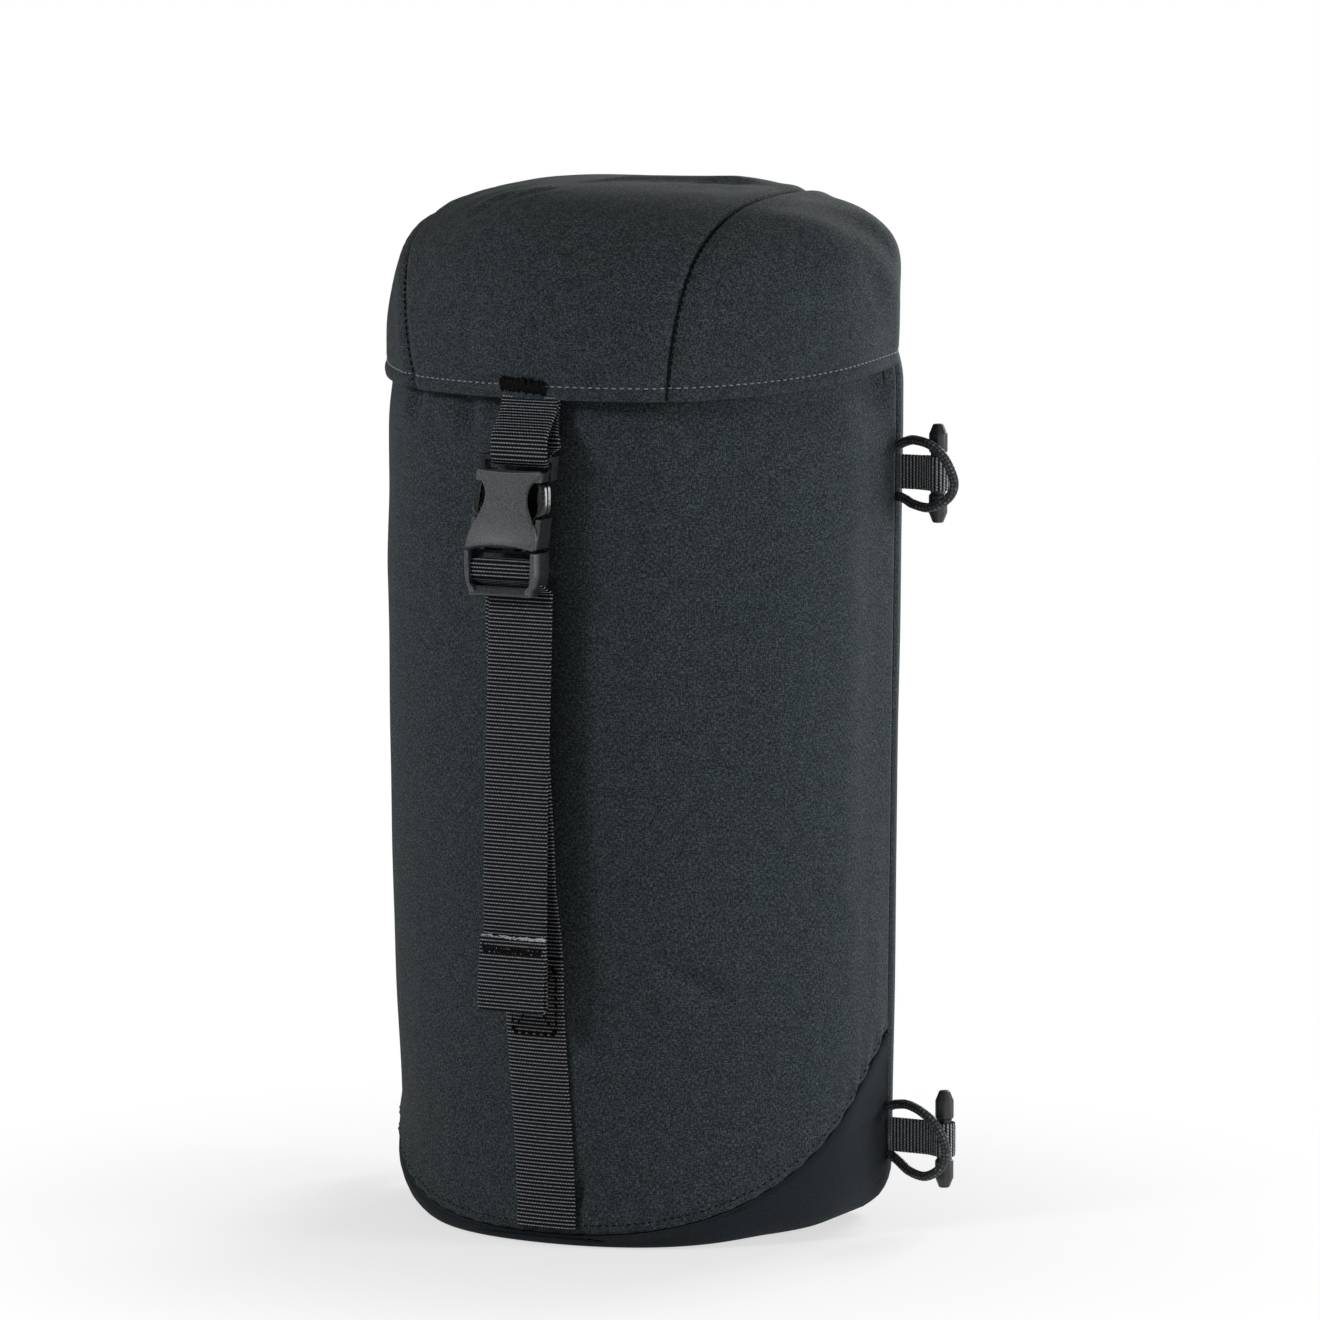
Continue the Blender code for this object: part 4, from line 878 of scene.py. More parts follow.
class POCKET_OT_body(bpy.types.Operator):
    """Sews the front, back and base panels into a filled, slightly slack shell"""

    bl_idname = "pocket.body"
    bl_label = "Body panels"

    def execute(self, context):
        self.front()
        self.back()
        self.base()
        return {"FINISHED"}

    def front(self):
        """The front panel, wrapped round to both back seams: slack, creased, and puckered along the base."""
        s = np.linspace(-2 + SEAM_INSET, 2 - SEAM_INSET, 280)[None, :]
        foot = rim(s) + PANEL_GAP
        z = foot + (MOUTH - foot) * np.linspace(0.0, 1.0, 170)[:, None] ** 1.15
        plain = wall(s, z)
        u = arc(s)
        edge = np.abs(arc(2.0) - np.abs(u))
        pinch = np.maximum(hump(z - foot, GROOVE_WIDTH), hump(edge, GROOVE_WIDTH))
        pucker = 0.00035 * np.sin(2 * np.pi * u / 0.0085) * hump(z - foot, 0.007)
        fade = smooth((z - foot) / TAUT) * smooth(edge / TAUT) * smooth((MOUTH - z) / TAUT)
        moved = plain + facing(plain, False) * (body_waves(u, z) * fade + pucker - GROOVE * pinch)[..., None]
        panel = cloth_slab("front_panel_cloth", moved, sizes().cloth, finish_of("cloth"), in_mm(u, z))
        dress(panel, "root", ["front_panel"])

    def back(self):
        """The back panel, flatter than the front, with its two rounded corners."""
        cloth_step, edge_step = 0.042, 0.026
        turn = np.linspace(2 + SEAM_INSET, 6 - SEAM_INSET, 180)
        s = np.where(turn > 4, turn - 8, turn)[None, :]
        z = np.linspace(BACK_FOOT + PANEL_GAP, MOUTH, 130)[:, None]
        plain = wall(s, z)
        u = (arc(2.0) + (turn - 2) * cloth_step)[None, :]
        edge = np.minimum(turn - 2, 6 - turn)[None, :] * edge_step
        pinch = np.maximum(hump(z - BACK_FOOT, GROOVE_WIDTH), hump(edge, GROOVE_WIDTH))
        fade = smooth((z - BACK_FOOT) / TAUT) * smooth(edge / TAUT) * smooth((0.240 - z) / 0.02)
        soft = 0.6 * body_waves(u, z) * fade
        moved = plain + facing(plain, False) * (np.minimum(soft, 0.0006) - GROOVE * pinch)[..., None]
        panel = cloth_slab("back_panel_cloth", moved, sizes().cloth, finish_of("cloth"), in_mm(u, z))
        dress(panel, "root", ["back_panel"])

    def base(self):
        """The base, a dish: flat below, curled round the bottom edge and upright to its climbing seam."""
        s = np.linspace(-4, 4, 300, endpoint=False)[None, :]
        radius, top = bottom_edge(s), rim(s) - PANEL_GAP
        floor_edge = wall(s, 0.0)[0]
        scale = np.linspace(0.03, 1.0, 16)[:, None, None]
        centre = np.array([0.0, 0.004, 0.0])
        flat = centre + (floor_edge - centre) * scale
        curl = np.sin(np.linspace(0.0, np.pi / 2, 10)[1:])[:, None]
        turned_to = np.minimum(radius, top)
        turned = wall(s, turned_to * (1 - np.sqrt(1 - curl ** 2)))
        share = np.linspace(0.0, 1.0, 26)[1:, None]
        upright = wall(s, turned_to * (1 - share) + top * share)
        plain = np.concatenate([flat, turned, upright])
        below = top - plain[..., 2]
        soft = 0.0006 * crumple(arc(s), plain[..., 2], 0.03, 0.02, 9) * smooth(below / 0.01)
        lift = (soft * (plain[..., 2] > 0.004) - GROOVE * hump(below, GROOVE_WIDTH))[..., None]
        moved = plain + facing(plain, True) * lift
        moved[..., 2] = np.maximum(moved[..., 2], 0.0)
        panel = cloth_slab("base_panel_cloth", moved, sizes().cloth, finish_of("twill"),
                           in_mm(arc(s), travel(plain)), wrap=True, closed_foot=True)
        dress(panel, "root", ["base_panel"])


class POCKET_OT_tapes(bpy.types.Operator):
    """Binds the mouth, the back seams inside and the lid's hinge with woven tape"""

    bl_idname = "pocket.tapes"
    bl_label = "Tapes and binding"

    def execute(self, context):
        tape, cloth = finish_of("tape"), sizes().cloth
        self.mouth(tape, cloth)
        for hand, side in HANDS:
            self.seam(tape, cloth, hand, side)
        self.hinge(tape)
        return {"FINISHED"}

    def mouth(self, tape, cloth):
        """Tape folded over the mouth's edge."""
        low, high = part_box("mouth_binding")
        s = np.linspace(-4, 4, 260, endpoint=False)[None, :]
        thick, gap = 0.0004, 0.0005
        depth = high.z - low.z
        down = np.linspace(0.0, 0.62 * depth, 12)
        over = [wall(s, MOUTH - drop, -gap)[0] for drop in down[::-1]]
        for angle in np.linspace(0.0, np.pi, 8)[1:-1]:
            inset = -gap + (cloth + 2 * gap) * (1 - math.cos(angle)) / 2
            ring = wall(s, MOUTH, inset)[0]
            ring[:, 2] += 0.0008 * math.sin(angle)
            over.append(ring)
        over += [wall(s, MOUTH - drop, cloth + gap)[0] for drop in down]
        grid = np.stack(over)
        ripple = 0.00025 * crumple(arc(s), grid[..., 2], 0.011, 0.02, 12)
        grid = grid + facing(grid, True) * ripple[..., None]
        along = np.linspace(0.0, 2.4 * depth, len(grid))[:, None]
        bound = cloth_slab("mouth_binding_tape", grid, thick, tape, in_mm(arc(s), along), wrap=True)
        dress(bound, "root", ["mouth_binding"])

    def seam(self, tape, cloth, hand, side):
        """Tape over the inside of one back seam, with a fold down its middle."""
        low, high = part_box(f"seam_tape_{hand}")
        half, thick, gap = 0.006, 0.0006, 0.0003
        z = np.linspace(low.z, high.z, 130)[:, None]
        span = np.linspace(-half, half, 9)[None, :]
        grid = wall(around(side * arc(2.0) + span), z, cloth + gap)
        fold = 0.0007 * hump(span, 0.0016) + 0.0002 * crumple(span, z, 0.004, 0.012, 14)
        grid = grid - facing(grid, False) * fold[..., None]
        bound = cloth_slab(f"seam_tape_{hand}_woven", grid, thick, tape, in_mm(z, span))
        dress(bound, "root", [f"seam_tape_{hand}"])

    def hinge(self, tape):
        """The lid's hinge: tape sewn to the back panel and to the lid, with a row of stitches on each."""
        thick = 0.0009
        z = np.linspace(HINGE_LOW.z, HINGE_HIGH.z + 0.0075, 34)[:, None]
        x = np.linspace(HINGE_LOW.x, HINGE_HIGH.x, 120)[None, :] * -1
        lid = lid_surface()
        hits = [landed(lid, points_at(x[0], RAY_START, HEM_BACK + up), BACK_TO_FRONT)[0][:, 1]
                for up in (0.0015, 0.0045, 0.0080)]
        low_y, high_y = HINGE_HIGH.y + 0.0002, np.max(hits, axis=0) + 0.0012
        stand = low_y + (high_y - low_y) * smooth((z - HEM_BACK + 0.0060) / 0.0055)
        wave = 0.0002 * crumple(x, z, 0.012, 0.010, 15)
        grid = points_at(x, stand + wave, z)
        band = cloth_slab("lid_hinge_tape_woven", grid, thick, tape, in_mm(x, z))
        dress(band, nodes=["lid_hinge_tape"])
        cover = surface_of("lid_hinge_tape_woven")
        sewn_x = np.arange(HINGE_LOW.x + 0.003, HINGE_HIGH.x - 0.003, sizes().stitch_step)
        rows = {"low": (HINGE_LOW.z + 0.0022, "root"), "high": (HINGE_HIGH.z + 0.0055, "lid")}
        for name, (height, body) in rows.items():
            at, out = landed(cover, points_at(sewn_x, RAY_START, height), BACK_TO_FRONT)
            sideways = np.tile(LEFT_TO_RIGHT, (len(at), 1))
            sewn_row(f"lid_hinge_stitching_{name}", body, at, sideways, out, "dark_thread")
        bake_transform(band)


# Lid

# Folds on its top: where each starts and ends, its depth and its width
LID_CREASES = [
    ((0.0185, 0.0120), (0.0282, 0.0257), 0.0006, 0.0022),
    ((0.0250, 0.0110), (0.0335, 0.0321), 0.0005, 0.0022),
    ((-0.0380, -0.0260), (-0.0240, -0.0060), 0.0012, 0.0024),
    ((-0.0300, -0.0240), (-0.0130, -0.0060), 0.0009, 0.0026),
]


def dome_mesh():
    """The whole lid before its seams are cut: a skirt, then a dome that closes over the crown."""
    s = np.linspace(-4, 4, 340, endpoint=False)[None, :]
    x, y = outline(s, -LID_OFFSET)
    place = np.stack([x, y], -1)[0]
    low, high = hem(place[:, 1]), shoulder(place[:, 1])
    crown = np.array([0.0, CROWN_Y])
    rows = [np.column_stack([place, low + (high - low) * t]) for t in np.linspace(0.0, 1.0, 11)]
    angle = np.linspace(0.0, math.radians(62), 26)[1:]
    scales = [*(np.cos(angle) ** (2 / DOME_POWER))]
    scales += list(np.linspace(scales[-1], 0.02, 62)[1:])
    for q in scales:
        z = high + (1 - q ** DOME_POWER) ** (1 / CROWN_POWER) * (LID_TOP - high)
        rows.append(np.column_stack([crown + q * (place - crown), z]))
    grid = np.stack(rows)
    reach = travel(grid[::-1])[::-1, :, None] / MM
    way = unit(grid[..., :2] - crown)
    return grid, np.concatenate([way * reach, reach], -1)


def lid_waves(points, weave):
    """How far the lid's cloth stands out: seams, hem, stitch groove, the crest and soft wrinkles."""
    x, y, z = points.T
    u, v, _ = (weave * MM).T
    up = z - hem(y)
    seam = lid_seam(x, z)
    wave = 0.0006 * crumple(u, v, 0.045, 0.040, 21) + 0.0005 * crumple(u + v, u - v, 0.030, 0.012, 22)
    wave += 0.0003 * crumple(u, v, 0.014, 0.018, 23)
    wave *= smooth(up / 0.02) * smooth(seam / 0.012) * (1 - 0.35 * smooth((up - 0.045) / 0.012))
    behind = (y - 0.0149 - 0.51 * x) / 1.12 + 0.0016 * crumple(x, y, 0.013, 0.5, 25)
    crest = np.where(behind < 0, hump(behind, 0.0042), hump(behind, 0.011))
    on_top = smooth((up - 0.04) / 0.008)
    wave += 0.0013 * on_top * crest * smooth((x + 0.022) / 0.022) * smooth((0.046 - x) / 0.022)
    wave -= on_top * (0.0013 * hump(x + 0.046, 0.018) + 0.0009 * hump(x - 0.044, 0.010))
    top = smooth((up - 0.03) / 0.01)
    wave += top * sum(crease(x, y, *fold) for fold in LID_CREASES)
    wave -= 0.0013 * hump(seam, 0.0007) + 0.0006 * hump(seam, 0.0030)
    wave += 0.0005 * hump(seam - 0.0042, 0.0026)
    hem_wave = crumple(np.arctan2(x, CROWN_Y - y) * 0.07, up, 0.026, 0.5, 24)
    wave += 0.0007 * hem_wave * hump(up, 0.016)
    wave -= 0.0005 * hump(up - sizes().stitch_in, 0.0008)
    wave += 0.0005 * hump(up - 0.0016, 0.0018)
    return wave - lid_draw(x, up)


class POCKET_OT_lid(bpy.types.Operator):
    """Makes the lid's middle panel, its two side panels and the turned-in hem"""

    bl_idname = "pocket.lid"
    bl_label = "Lid"

    def execute(self, context):
        self.panels()
        self.hem_facing()
        return {"FINISHED"}

    def panels(self):
        """The middle panel and both sides, cut from one dome along its seams."""
        grid, weave = dome_mesh()
        rows, columns = grid.shape[:2]
        whole = bmesh.new()
        layer = whole.verts.layers.float_vector.new("weave")
        corners = [whole.verts.new(p) for p in grid.reshape(-1, 3)]
        for vertex, at in zip(corners, weave.reshape(-1, 3)):
            vertex[layer] = at
        for face in grid_faces(rows, columns, True):
            whole.faces.new([corners[i] for i in face])
        whole.faces.new(corners[-columns:])
        bmesh.ops.recalc_face_normals(whole, faces=whole.faces)
        for name, sides in LID_PANELS.items():
            panel = whole.copy()
            inside = name == "band"
            for side in sides:
                foot, flare = LID_SEAMS[side]
                out = side * Vector((1.0, 0.0, -flare)).normalized()
                for away in (0.0, 0.0004, 0.0009, 0.0018, 0.0034):
                    bmesh.ops.bisect_plane(
                        panel, geom=[*panel.verts, *panel.edges, *panel.faces], dist=1e-6, plane_no=out,
                        plane_co=Vector((foot, 0.0, HEM_FRONT)) + out * (-away if inside else away),
                        clear_outer=inside and not away, clear_inner=not inside and not away)
            panel.normal_update()
            layer = panel.verts.layers.float_vector["weave"]
            points = np.array([v.co for v in panel.verts])
            cloth_at = np.array([v[layer] for v in panel.verts])
            out = np.array([v.normal for v in panel.verts])
            moved = points + out * lid_waves(points, cloth_at)[:, None]
            panel.verts.index_update()
            faces = [[v.index for v in f.verts] for f in panel.faces]
            obj = piece(f"lid_{name}_cloth", moved, faces, finish_of("cloth"), cloth_at)
            shell = obj.modifiers.new("thickness", "SOLIDIFY")
            shell.thickness = sizes().cloth
            shell.offset = -1.0
            panel.free()
            dress(obj, "lid", [f"lid_{name}"])
        whole.free()

    def hem_facing(self):
        """The hem, turned in under the skirt."""
        s = np.linspace(-4, 4, 300, endpoint=False)
        inset = sizes().cloth + 0.0002 - LID_OFFSET
        rows = []
        height = np.linspace(0.0, FACING_HEIGHT, 8)
        for up in height:
            x, y = outline(s, inset)
            x, y = outline(s, inset + lid_draw(x, up))
            rows.append(np.stack([x, y, hem(y) - 0.0002 + up], -1))
        turned = cloth_slab("lid_hem_facing_cloth", np.stack(rows), FACING_THICK, finish_of("cloth"),
                            in_mm(arc(s)[None, :], height[:, None]), wrap=True)
        dress(turned, "lid", ["lid_hem_facing"])


class POCKET_OT_stitching(bpy.types.Operator):
    """Runs the pale line of stitches round the lid's hem, and dark stitches along the seams"""

    bl_idname = "pocket.stitching"
    bl_label = "Stitching"

    def execute(self, context):
        step, lid = sizes().stitch_step, lid_surface()
        self.hem(step, lid)
        for hand, side in HANDS:
            self.lid_seam(step, lid, hand, side)
        self.base_seam(step)
        return {"FINISHED"}

    def hem(self, step, lid):
        """The pale row just above the lid's hem."""
        run = np.arange(arc(-2.9), arc(2.9), step)
        x, y = outline(around(run), -LID_OFFSET)
        ahead_x, ahead_y = outline(around(run + 0.0005), -LID_OFFSET)
        way = unit(np.stack([ahead_x - x, ahead_y - y, 0 * x], -1))
        out = np.stack([way[:, 1], -way[:, 0], 0 * x], -1)
        places = np.stack([x, y, hem(y) + sizes().stitch_in], -1)
        at, normal = landed(lid, places + out * 0.01, -out)
        sewn_row("lid_hem_stitching", "lid", at, level_with(way, normal), normal, "pale_thread")

    def lid_seam(self, step, lid, hand, side):
        """A dark row up one of the lid's seams, from the hem over the top."""
        turn = np.radians(np.linspace(-12.0, 110.0, 400))
        foot, flare = LID_SEAMS[side]
        ways = unit(np.stack([flare * np.sin(turn), -np.cos(turn), np.sin(turn)], -1))
        start = np.array([foot + flare * 0.015, 0.005, HEM_FRONT + 0.015])
        line, _ = landed(lid, start + ways * 0.15, -ways)
        line, _ = even_steps(line[line[:, 2] > HEM_FRONT + 0.001], step)
        ways = unit(line - start)
        at, normal = landed(lid, line + ways * 0.01, -ways)
        way = unit(np.gradient(at, axis=0))
        sewn_row(f"lid_seam_{hand}_stitching", "lid", at + normal * 0.0001, way, normal, "dark_thread")

    def base_seam(self, step):
        """A fine dark row on the front panel, just above the base."""
        front = surface_of("front_panel_cloth")
        s = around(np.arange(arc(-1.85), arc(1.85), step))
        height = rim(s) + 0.0030
        points = wall(s, height, -0.01)
        at, normal = landed(front, points, unit(wall(s, height) - points))
        way = level_with(unit(np.gradient(at, axis=0)), normal)
        sewn_row("base_seam_stitching", "root", at, way, normal, "dark_thread", finer=0.8)


# Front strap

def strap_points(pairs, x=0.0):
    """Points of a strap's middle line from y and z."""
    return points_at(x, *np.transpose(pairs))


def bend(y, z, start, end):
    """Points round a bar's corner, from one angle to another."""
    turn = np.radians(np.linspace(start, end, 7))
    return [(y + WEB_SEAT * math.cos(a), z + WEB_SEAT * math.sin(a)) for a in turn]


def tail_line(z):
    """The hanging tail's middle at a height, with its slight belly."""
    share = (END_BAR_TOP - z) / (END_BAR_TOP - TAIL_FOOT)
    return TAIL_Y - 0.0010 * np.sin(np.pi * np.clip(share, 0.0, 1.0))


def strap_length(name, line, wide, sag=None):
    """One length of the front strap along a line, drawn wider or narrower than the webbing."""
    web = finish_of("webbing")
    return ribbon(f"{name}_webbing", line, LEFT_TO_RIGHT, WEB_WIDTH * wide, WEB_THICK, web, sag)


class POCKET_OT_strap(bpy.types.Operator):
    """Weaves the front strap: sewn anchor, riser, tail with its folded end, and the lid's doubled length"""

    bl_idname = "pocket.strap"
    bl_label = "Front strap"

    def execute(self, context):
        sewn_to = self.anchor()
        self.riser(sewn_to)
        self.tail()
        self.fold()
        self.lid_length()
        self.box_stitch()
        self.bar_tacks()
        return {"FINISHED"}

    def anchor(self):
        """The length that is sewn to the front. Returns the middle of its upper end."""
        front = surface_of("front_panel_cloth")
        z = np.linspace(ANCHOR_LOW.z, ANCHOR_HIGH.z, 60)
        lean = 0.0036 * smooth((0.088 - z) / 0.088) - 0.0004
        at, _ = landed(front, points_at(lean, -RAY_START, z), FRONT_TO_BACK)
        middle = np.stack([lean, at[:, 1] - WEB_THICK / 2 - 0.0001, z], -1)
        curve = HALF_WIDTH ** 2 / CURVE_DEPTH

        def hugging(u, line):
            """Bows the strap round the pocket's front."""
            bow = np.zeros((len(line), len(u), 3))
            bow[..., 1] = (u ** 2 / (2 * curve))[None, :]
            return bow

        anchor = strap_length("anchor_strap", middle, 0.98, hugging)
        dress(anchor, "root", ["anchor_strap"])
        return middle[-1]

    def riser(self, start):
        """The standing length, from the anchor up behind the tail to the ladder bar."""
        share = np.linspace(0.0, 1.0, 60)
        z = RISER_FOOT + (BAR_FOOT - WEB_THICK - RISER_FOOT) * share
        near_bar = smooth((share - 0.955) / 0.045)
        y = start[1] + (RISER_Y - start[1]) * smooth(share / 0.94) + (BAR_BEHIND - RISER_Y) * near_bar
        x = -0.0004 - 0.0018 * smooth(share / 0.2) - 0.0012 * near_bar
        riser = strap_length("strap_riser", points_at(x, y, z), 0.98)
        dress(riser, nodes=["strap_riser"])
        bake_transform(riser)

    def tail(self):
        """The length over the ladder bar, in front of it and down to the loose end."""
        back, ahead = BAR_Y + BAR_HALF, BAR_Y - BAR_HALF
        run = [(BAR_BEHIND, BAR_FOOT - 0.0009), *bend(back, BAR_TOP, 0, 90), *bend(ahead, BAR_TOP, 90, 180),
               *bend(ahead, BAR_FOOT, 180, 215)]
        down = np.linspace(END_BAR_TOP - 0.0012, TAIL_FOOT + 0.0008, 50)
        run += [(tail_line(z), z) for z in down]
        sway = strap_points(catmull(run, 3))
        below = BAR_FOOT - sway[:, 2]
        sway[:, 0] = -0.0034 + 0.0042 * smooth(below / 0.0055) - 0.0018 * smooth((below - 0.0055) / 0.11)
        tail = strap_length("strap_tail", sway, 1.06)
        dress(tail, "plug", ["strap_tail"])

    def fold(self):
        """The loose end, turned up in front of the tail."""
        fold_y = -0.0017
        foot = TAIL_FOOT + 0.0004
        turned = [(tail_line(foot), foot + 0.0004)]
        middle_y = tail_line(foot) + fold_y / 2
        for angle in np.linspace(0.0, np.pi, 7)[1:-1]:
            turned.append((middle_y - fold_y / 2 * math.cos(angle), foot - 0.0005 * math.sin(angle)))
        rise = np.linspace(foot + 0.0006, FOLD_HIGH.z, 18)
        belly = 0.0004 * np.sin(np.linspace(0.0, np.pi, len(rise)))
        turned += list(zip(tail_line(rise) + fold_y - belly, rise))
        fold_line = strap_points(catmull(turned, 3), -0.0008)
        fold_line[:, 0] -= 0.0012 * smooth((FOLD_HIGH.z - fold_line[:, 2]) / 0.022)
        fold = strap_length("strap_tail_fold", fold_line, 1.11)
        dress(fold, "plug", ["strap_tail_fold"])
        self.fray(fold_line[-1])

    def lid_length(self):
        """The short length from the lid's hem, doubled round the socket's bar."""
        hem_y = JOINT_AT["socket_hang"].y
        clear = SOCKET_TOP + 0.0012
        out = SOCKET_BAR_HALF + WEB_SEAT
        ahead, behind = SOCKET_BAR_Y - out, SOCKET_BAR_Y + out
        line = [(hem_y - 0.0008, HEM_FRONT + 0.0012), (hem_y - 0.0011, HEM_FRONT - 0.0030),
                (ahead + 0.0014, clear + 0.0046), (ahead, clear), (ahead, SOCKET_BAR_FOOT + 0.0010),
                *bend(SOCKET_BAR_Y - 0.0008, SOCKET_BAR_FOOT, 200, 270),
                *bend(SOCKET_BAR_Y + 0.0008, SOCKET_BAR_FOOT, 270, 340), (behind, SOCKET_BAR_FOOT + 0.0010),
                (behind, clear), (behind - 0.0004, clear + 0.0046),
                (hem_y + 0.0010, HEM_FRONT - 0.0030), (hem_y + 0.0008, HEM_FRONT + 0.0012)]
        doubled = strap_points(catmull(line, 6))
        doubled, gone = even_steps(doubled, sizes().rib / 8)
        gone /= gone[-1]
        turned = smooth((gone - gone[np.argmin(doubled[:, 2])]) / 0.12 + 0.5)
        above = doubled[:, 2] - SOCKET_TOP
        front_x = 0.0004 + 0.0015 * (1 - smooth(above / 0.014))
        back_x = 0.0006 + 0.0032 * smooth(above / 0.0030) - 0.0036 * smooth((above - 0.0030) / 0.011)
        doubled[:, 0] = front_x * (1 - turned) + back_x * turned
        short = strap_length("lid_strap", doubled, 0.94)
        dress(short, nodes=["lid_strap"])
        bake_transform(short)

    def fray(self, end):
        """The cut end of the webbing: a row of short pale fibres along the top of the fold."""
        random = np.random.default_rng(33)
        count = 90
        x = 0.0104 - 0.0204 * random.random(count) ** 1.7
        y = random.normal(-0.0004, 0.0002, count)
        z = random.normal(0.0, 0.00025, count)
        at = end + points_at(x, y, z)
        lean_y = random.normal(0.0, 0.15, count)
        lean_z = random.normal(0.0, 0.30, count)
        way = unit(points_at(1.0, lean_y, lean_z))
        out = unit(np.cross(UPWARD, -way))
        ends = stitches("strap_tail_cut_end", at, way, out, 0.0017, 0.00013, finish_of("fibre"))
        dress(ends, "plug")

    def box_stitch(self):
        """The crossed box of stitches that ends the anchor."""
        size = sizes()
        strap = surface_of("anchor_strap_webbing")
        half, low, high = 0.0074, 0.0648, 0.0850
        corners = [(-half, low), (half, low), (half, high), (-half, high), (-half, low), (half, high),
                   (half, low), (-half, high)]
        places, ways = [], []
        for (x0, z0), (x1, z1) in zip(corners, corners[1:]):
            count = max(int(math.hypot(x1 - x0, z1 - z0) / size.stitch_step), 1)
            for k in range(count):
                share = (k + 0.5) / count
                places.append((x0 + (x1 - x0) * share, -RAY_START, z0 + (z1 - z0) * share))
                ways.append((x1 - x0, 0.0, z1 - z0))
        at, _ = landed(strap, places, FRONT_TO_BACK)
        out = np.tile(BACK_TO_FRONT, (len(at), 1))
        box = stitches("anchor_box_stitch", at, unit(np.array(ways)), out, size.stitch * 1.3,
                       size.thread * 1.7, finish_of("dark_thread"))
        dress(box, "root")

    def bar_tacks(self):
        """The close bars of thread on the lid's hem and across the tail."""
        count, hem_radius = 46, 0.0888
        tacks = [("lid_bar_tack", "lid", 31, -0.0012, 0.0, -0.07),
                 ("tail_bar_tack", "plug", 32, -0.0010, 0.0014, 0.0)]
        for node, body, seed, shift, wider, tilt in tacks:
            low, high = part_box(node)
            random = np.random.default_rng(seed)
            x = np.linspace(low.x + 0.0004 - wider, high.x - 0.0004 + wider, count) + shift
            x += random.normal(0, 0.00012, count)
            z = (low.z + high.z) / 2 + tilt * (x - shift) + random.normal(0, 0.00034, count)
            face_y = low.y + 0.0004 + (x - shift) ** 2 / (2 * hem_radius) * (body == "lid")
            at = points_at(x, face_y, z)
            lean = np.where(np.arange(count) % 2, 0.16, -0.16) + random.normal(0, 0.05, count)
            way = unit(points_at(lean, 0.0, 1.0))
            out = np.tile(BACK_TO_FRONT, (count, 1))
            tack = stitches(f"{node}_thread", at, way, out, (high.z - low.z) * 1.08, 0.00036,
                            finish_of("dark_thread"))
            dress(tack, body, [node])


# Buckle

def prism(work, corners, start, end, along="y"):
    """Adds a closed block: a flat outline carried from start to end, along y or along x."""
    def at(a, b, far):
        return (a, far, b) if along == "y" else (far, a, b)

    near = [work.verts.new(at(a, b, start)) for a, b in corners]
    far = [work.verts.new(at(a, b, end)) for a, b in corners]
    work.faces.new(near)
    work.faces.new(far[::-1])
    for k in range(len(corners)):
        j = (k + 1) % len(corners)
        work.faces.new([near[j], near[k], far[k], far[j]])


def strip(work, rows, front, back):
    """Adds a closed block between two depths, whose sides run through rows of left x, right x and z."""
    rings = []
    for a, b, z in rows:
        corners = ((a, front), (b, front), (b, back), (a, back))
        rings.append([work.verts.new((x, y, z)) for x, y in corners])
    work.faces.new(rings[0][::-1])
    work.faces.new(rings[-1])
    for low, high in zip(rings, rings[1:]):
        for k in range(4):
            j = (k + 1) % 4
            work.faces.new([low[k], low[j], high[j], high[k]])


def block(work, x0, x1, front, back, z0, z1):
    """Adds a rectangular block."""
    prism(work, [(x0, z0), (x1, z0), (x1, z1), (x0, z1)], front, back)


def leaned(points):
    """Leans buckle points the way the worn strap holds them: downward they come forward and to the left."""
    share = np.clip((SOCKET_HIGH.z - points[:, 2]) / (SOCKET_HIGH.z - SPLIT_Z), 0.0, 1.0)
    points[:, 0] += LEAN_X[0] + LEAN_X[1] * share
    points[:, 1] += LEAN_Y[0] + LEAN_Y[1] * share ** 2
    return points


def moulded(name, work, finish, swell):
    """Fuses blocks into one moulding with rounded edges, swells its faces and leans it."""
    bmesh.ops.recalc_face_normals(work, faces=work.faces)
    mesh = bpy.data.meshes.new(name)
    work.to_mesh(mesh)
    work.free()
    rough = placed(f"{name}_blocks", mesh)
    fuse = rough.modifiers.new("fuse", "REMESH")
    fuse.mode = "VOXEL"
    fuse.voxel_size = MOULD_GRAIN
    ease = rough.modifiers.new("ease", "SMOOTH")
    ease.factor = 0.5
    ease.iterations = MOULD_ROUNDS
    solved = rough.evaluated_get(bpy.context.evaluated_depsgraph_get())
    final = bpy.data.meshes.new_from_object(solved)
    final.name = name
    bpy.data.objects.remove(rough)
    bpy.data.meshes.remove(mesh)
    points = np.empty(len(final.vertices) * 3, np.float32)
    final.vertices.foreach_get("co", points)
    points = swell(points.reshape(-1, 3))
    # Depth behind the buckle's front, in millimetres, which sets the plastic's painted recess shade
    set_back = final.attributes.new("set_back", "FLOAT", "POINT")
    behind = (points[:, 1] - BUCKLE_Y + BUCKLE_DEEP) / MM
    set_back.data.foreach_set("value", behind.astype(np.float32))
    final.vertices.foreach_set("co", leaned(points).astype(np.float32).ravel())
    final.materials.clear()
    final.materials.append(finish)
    final.shade_smooth()
    return placed(name, final)


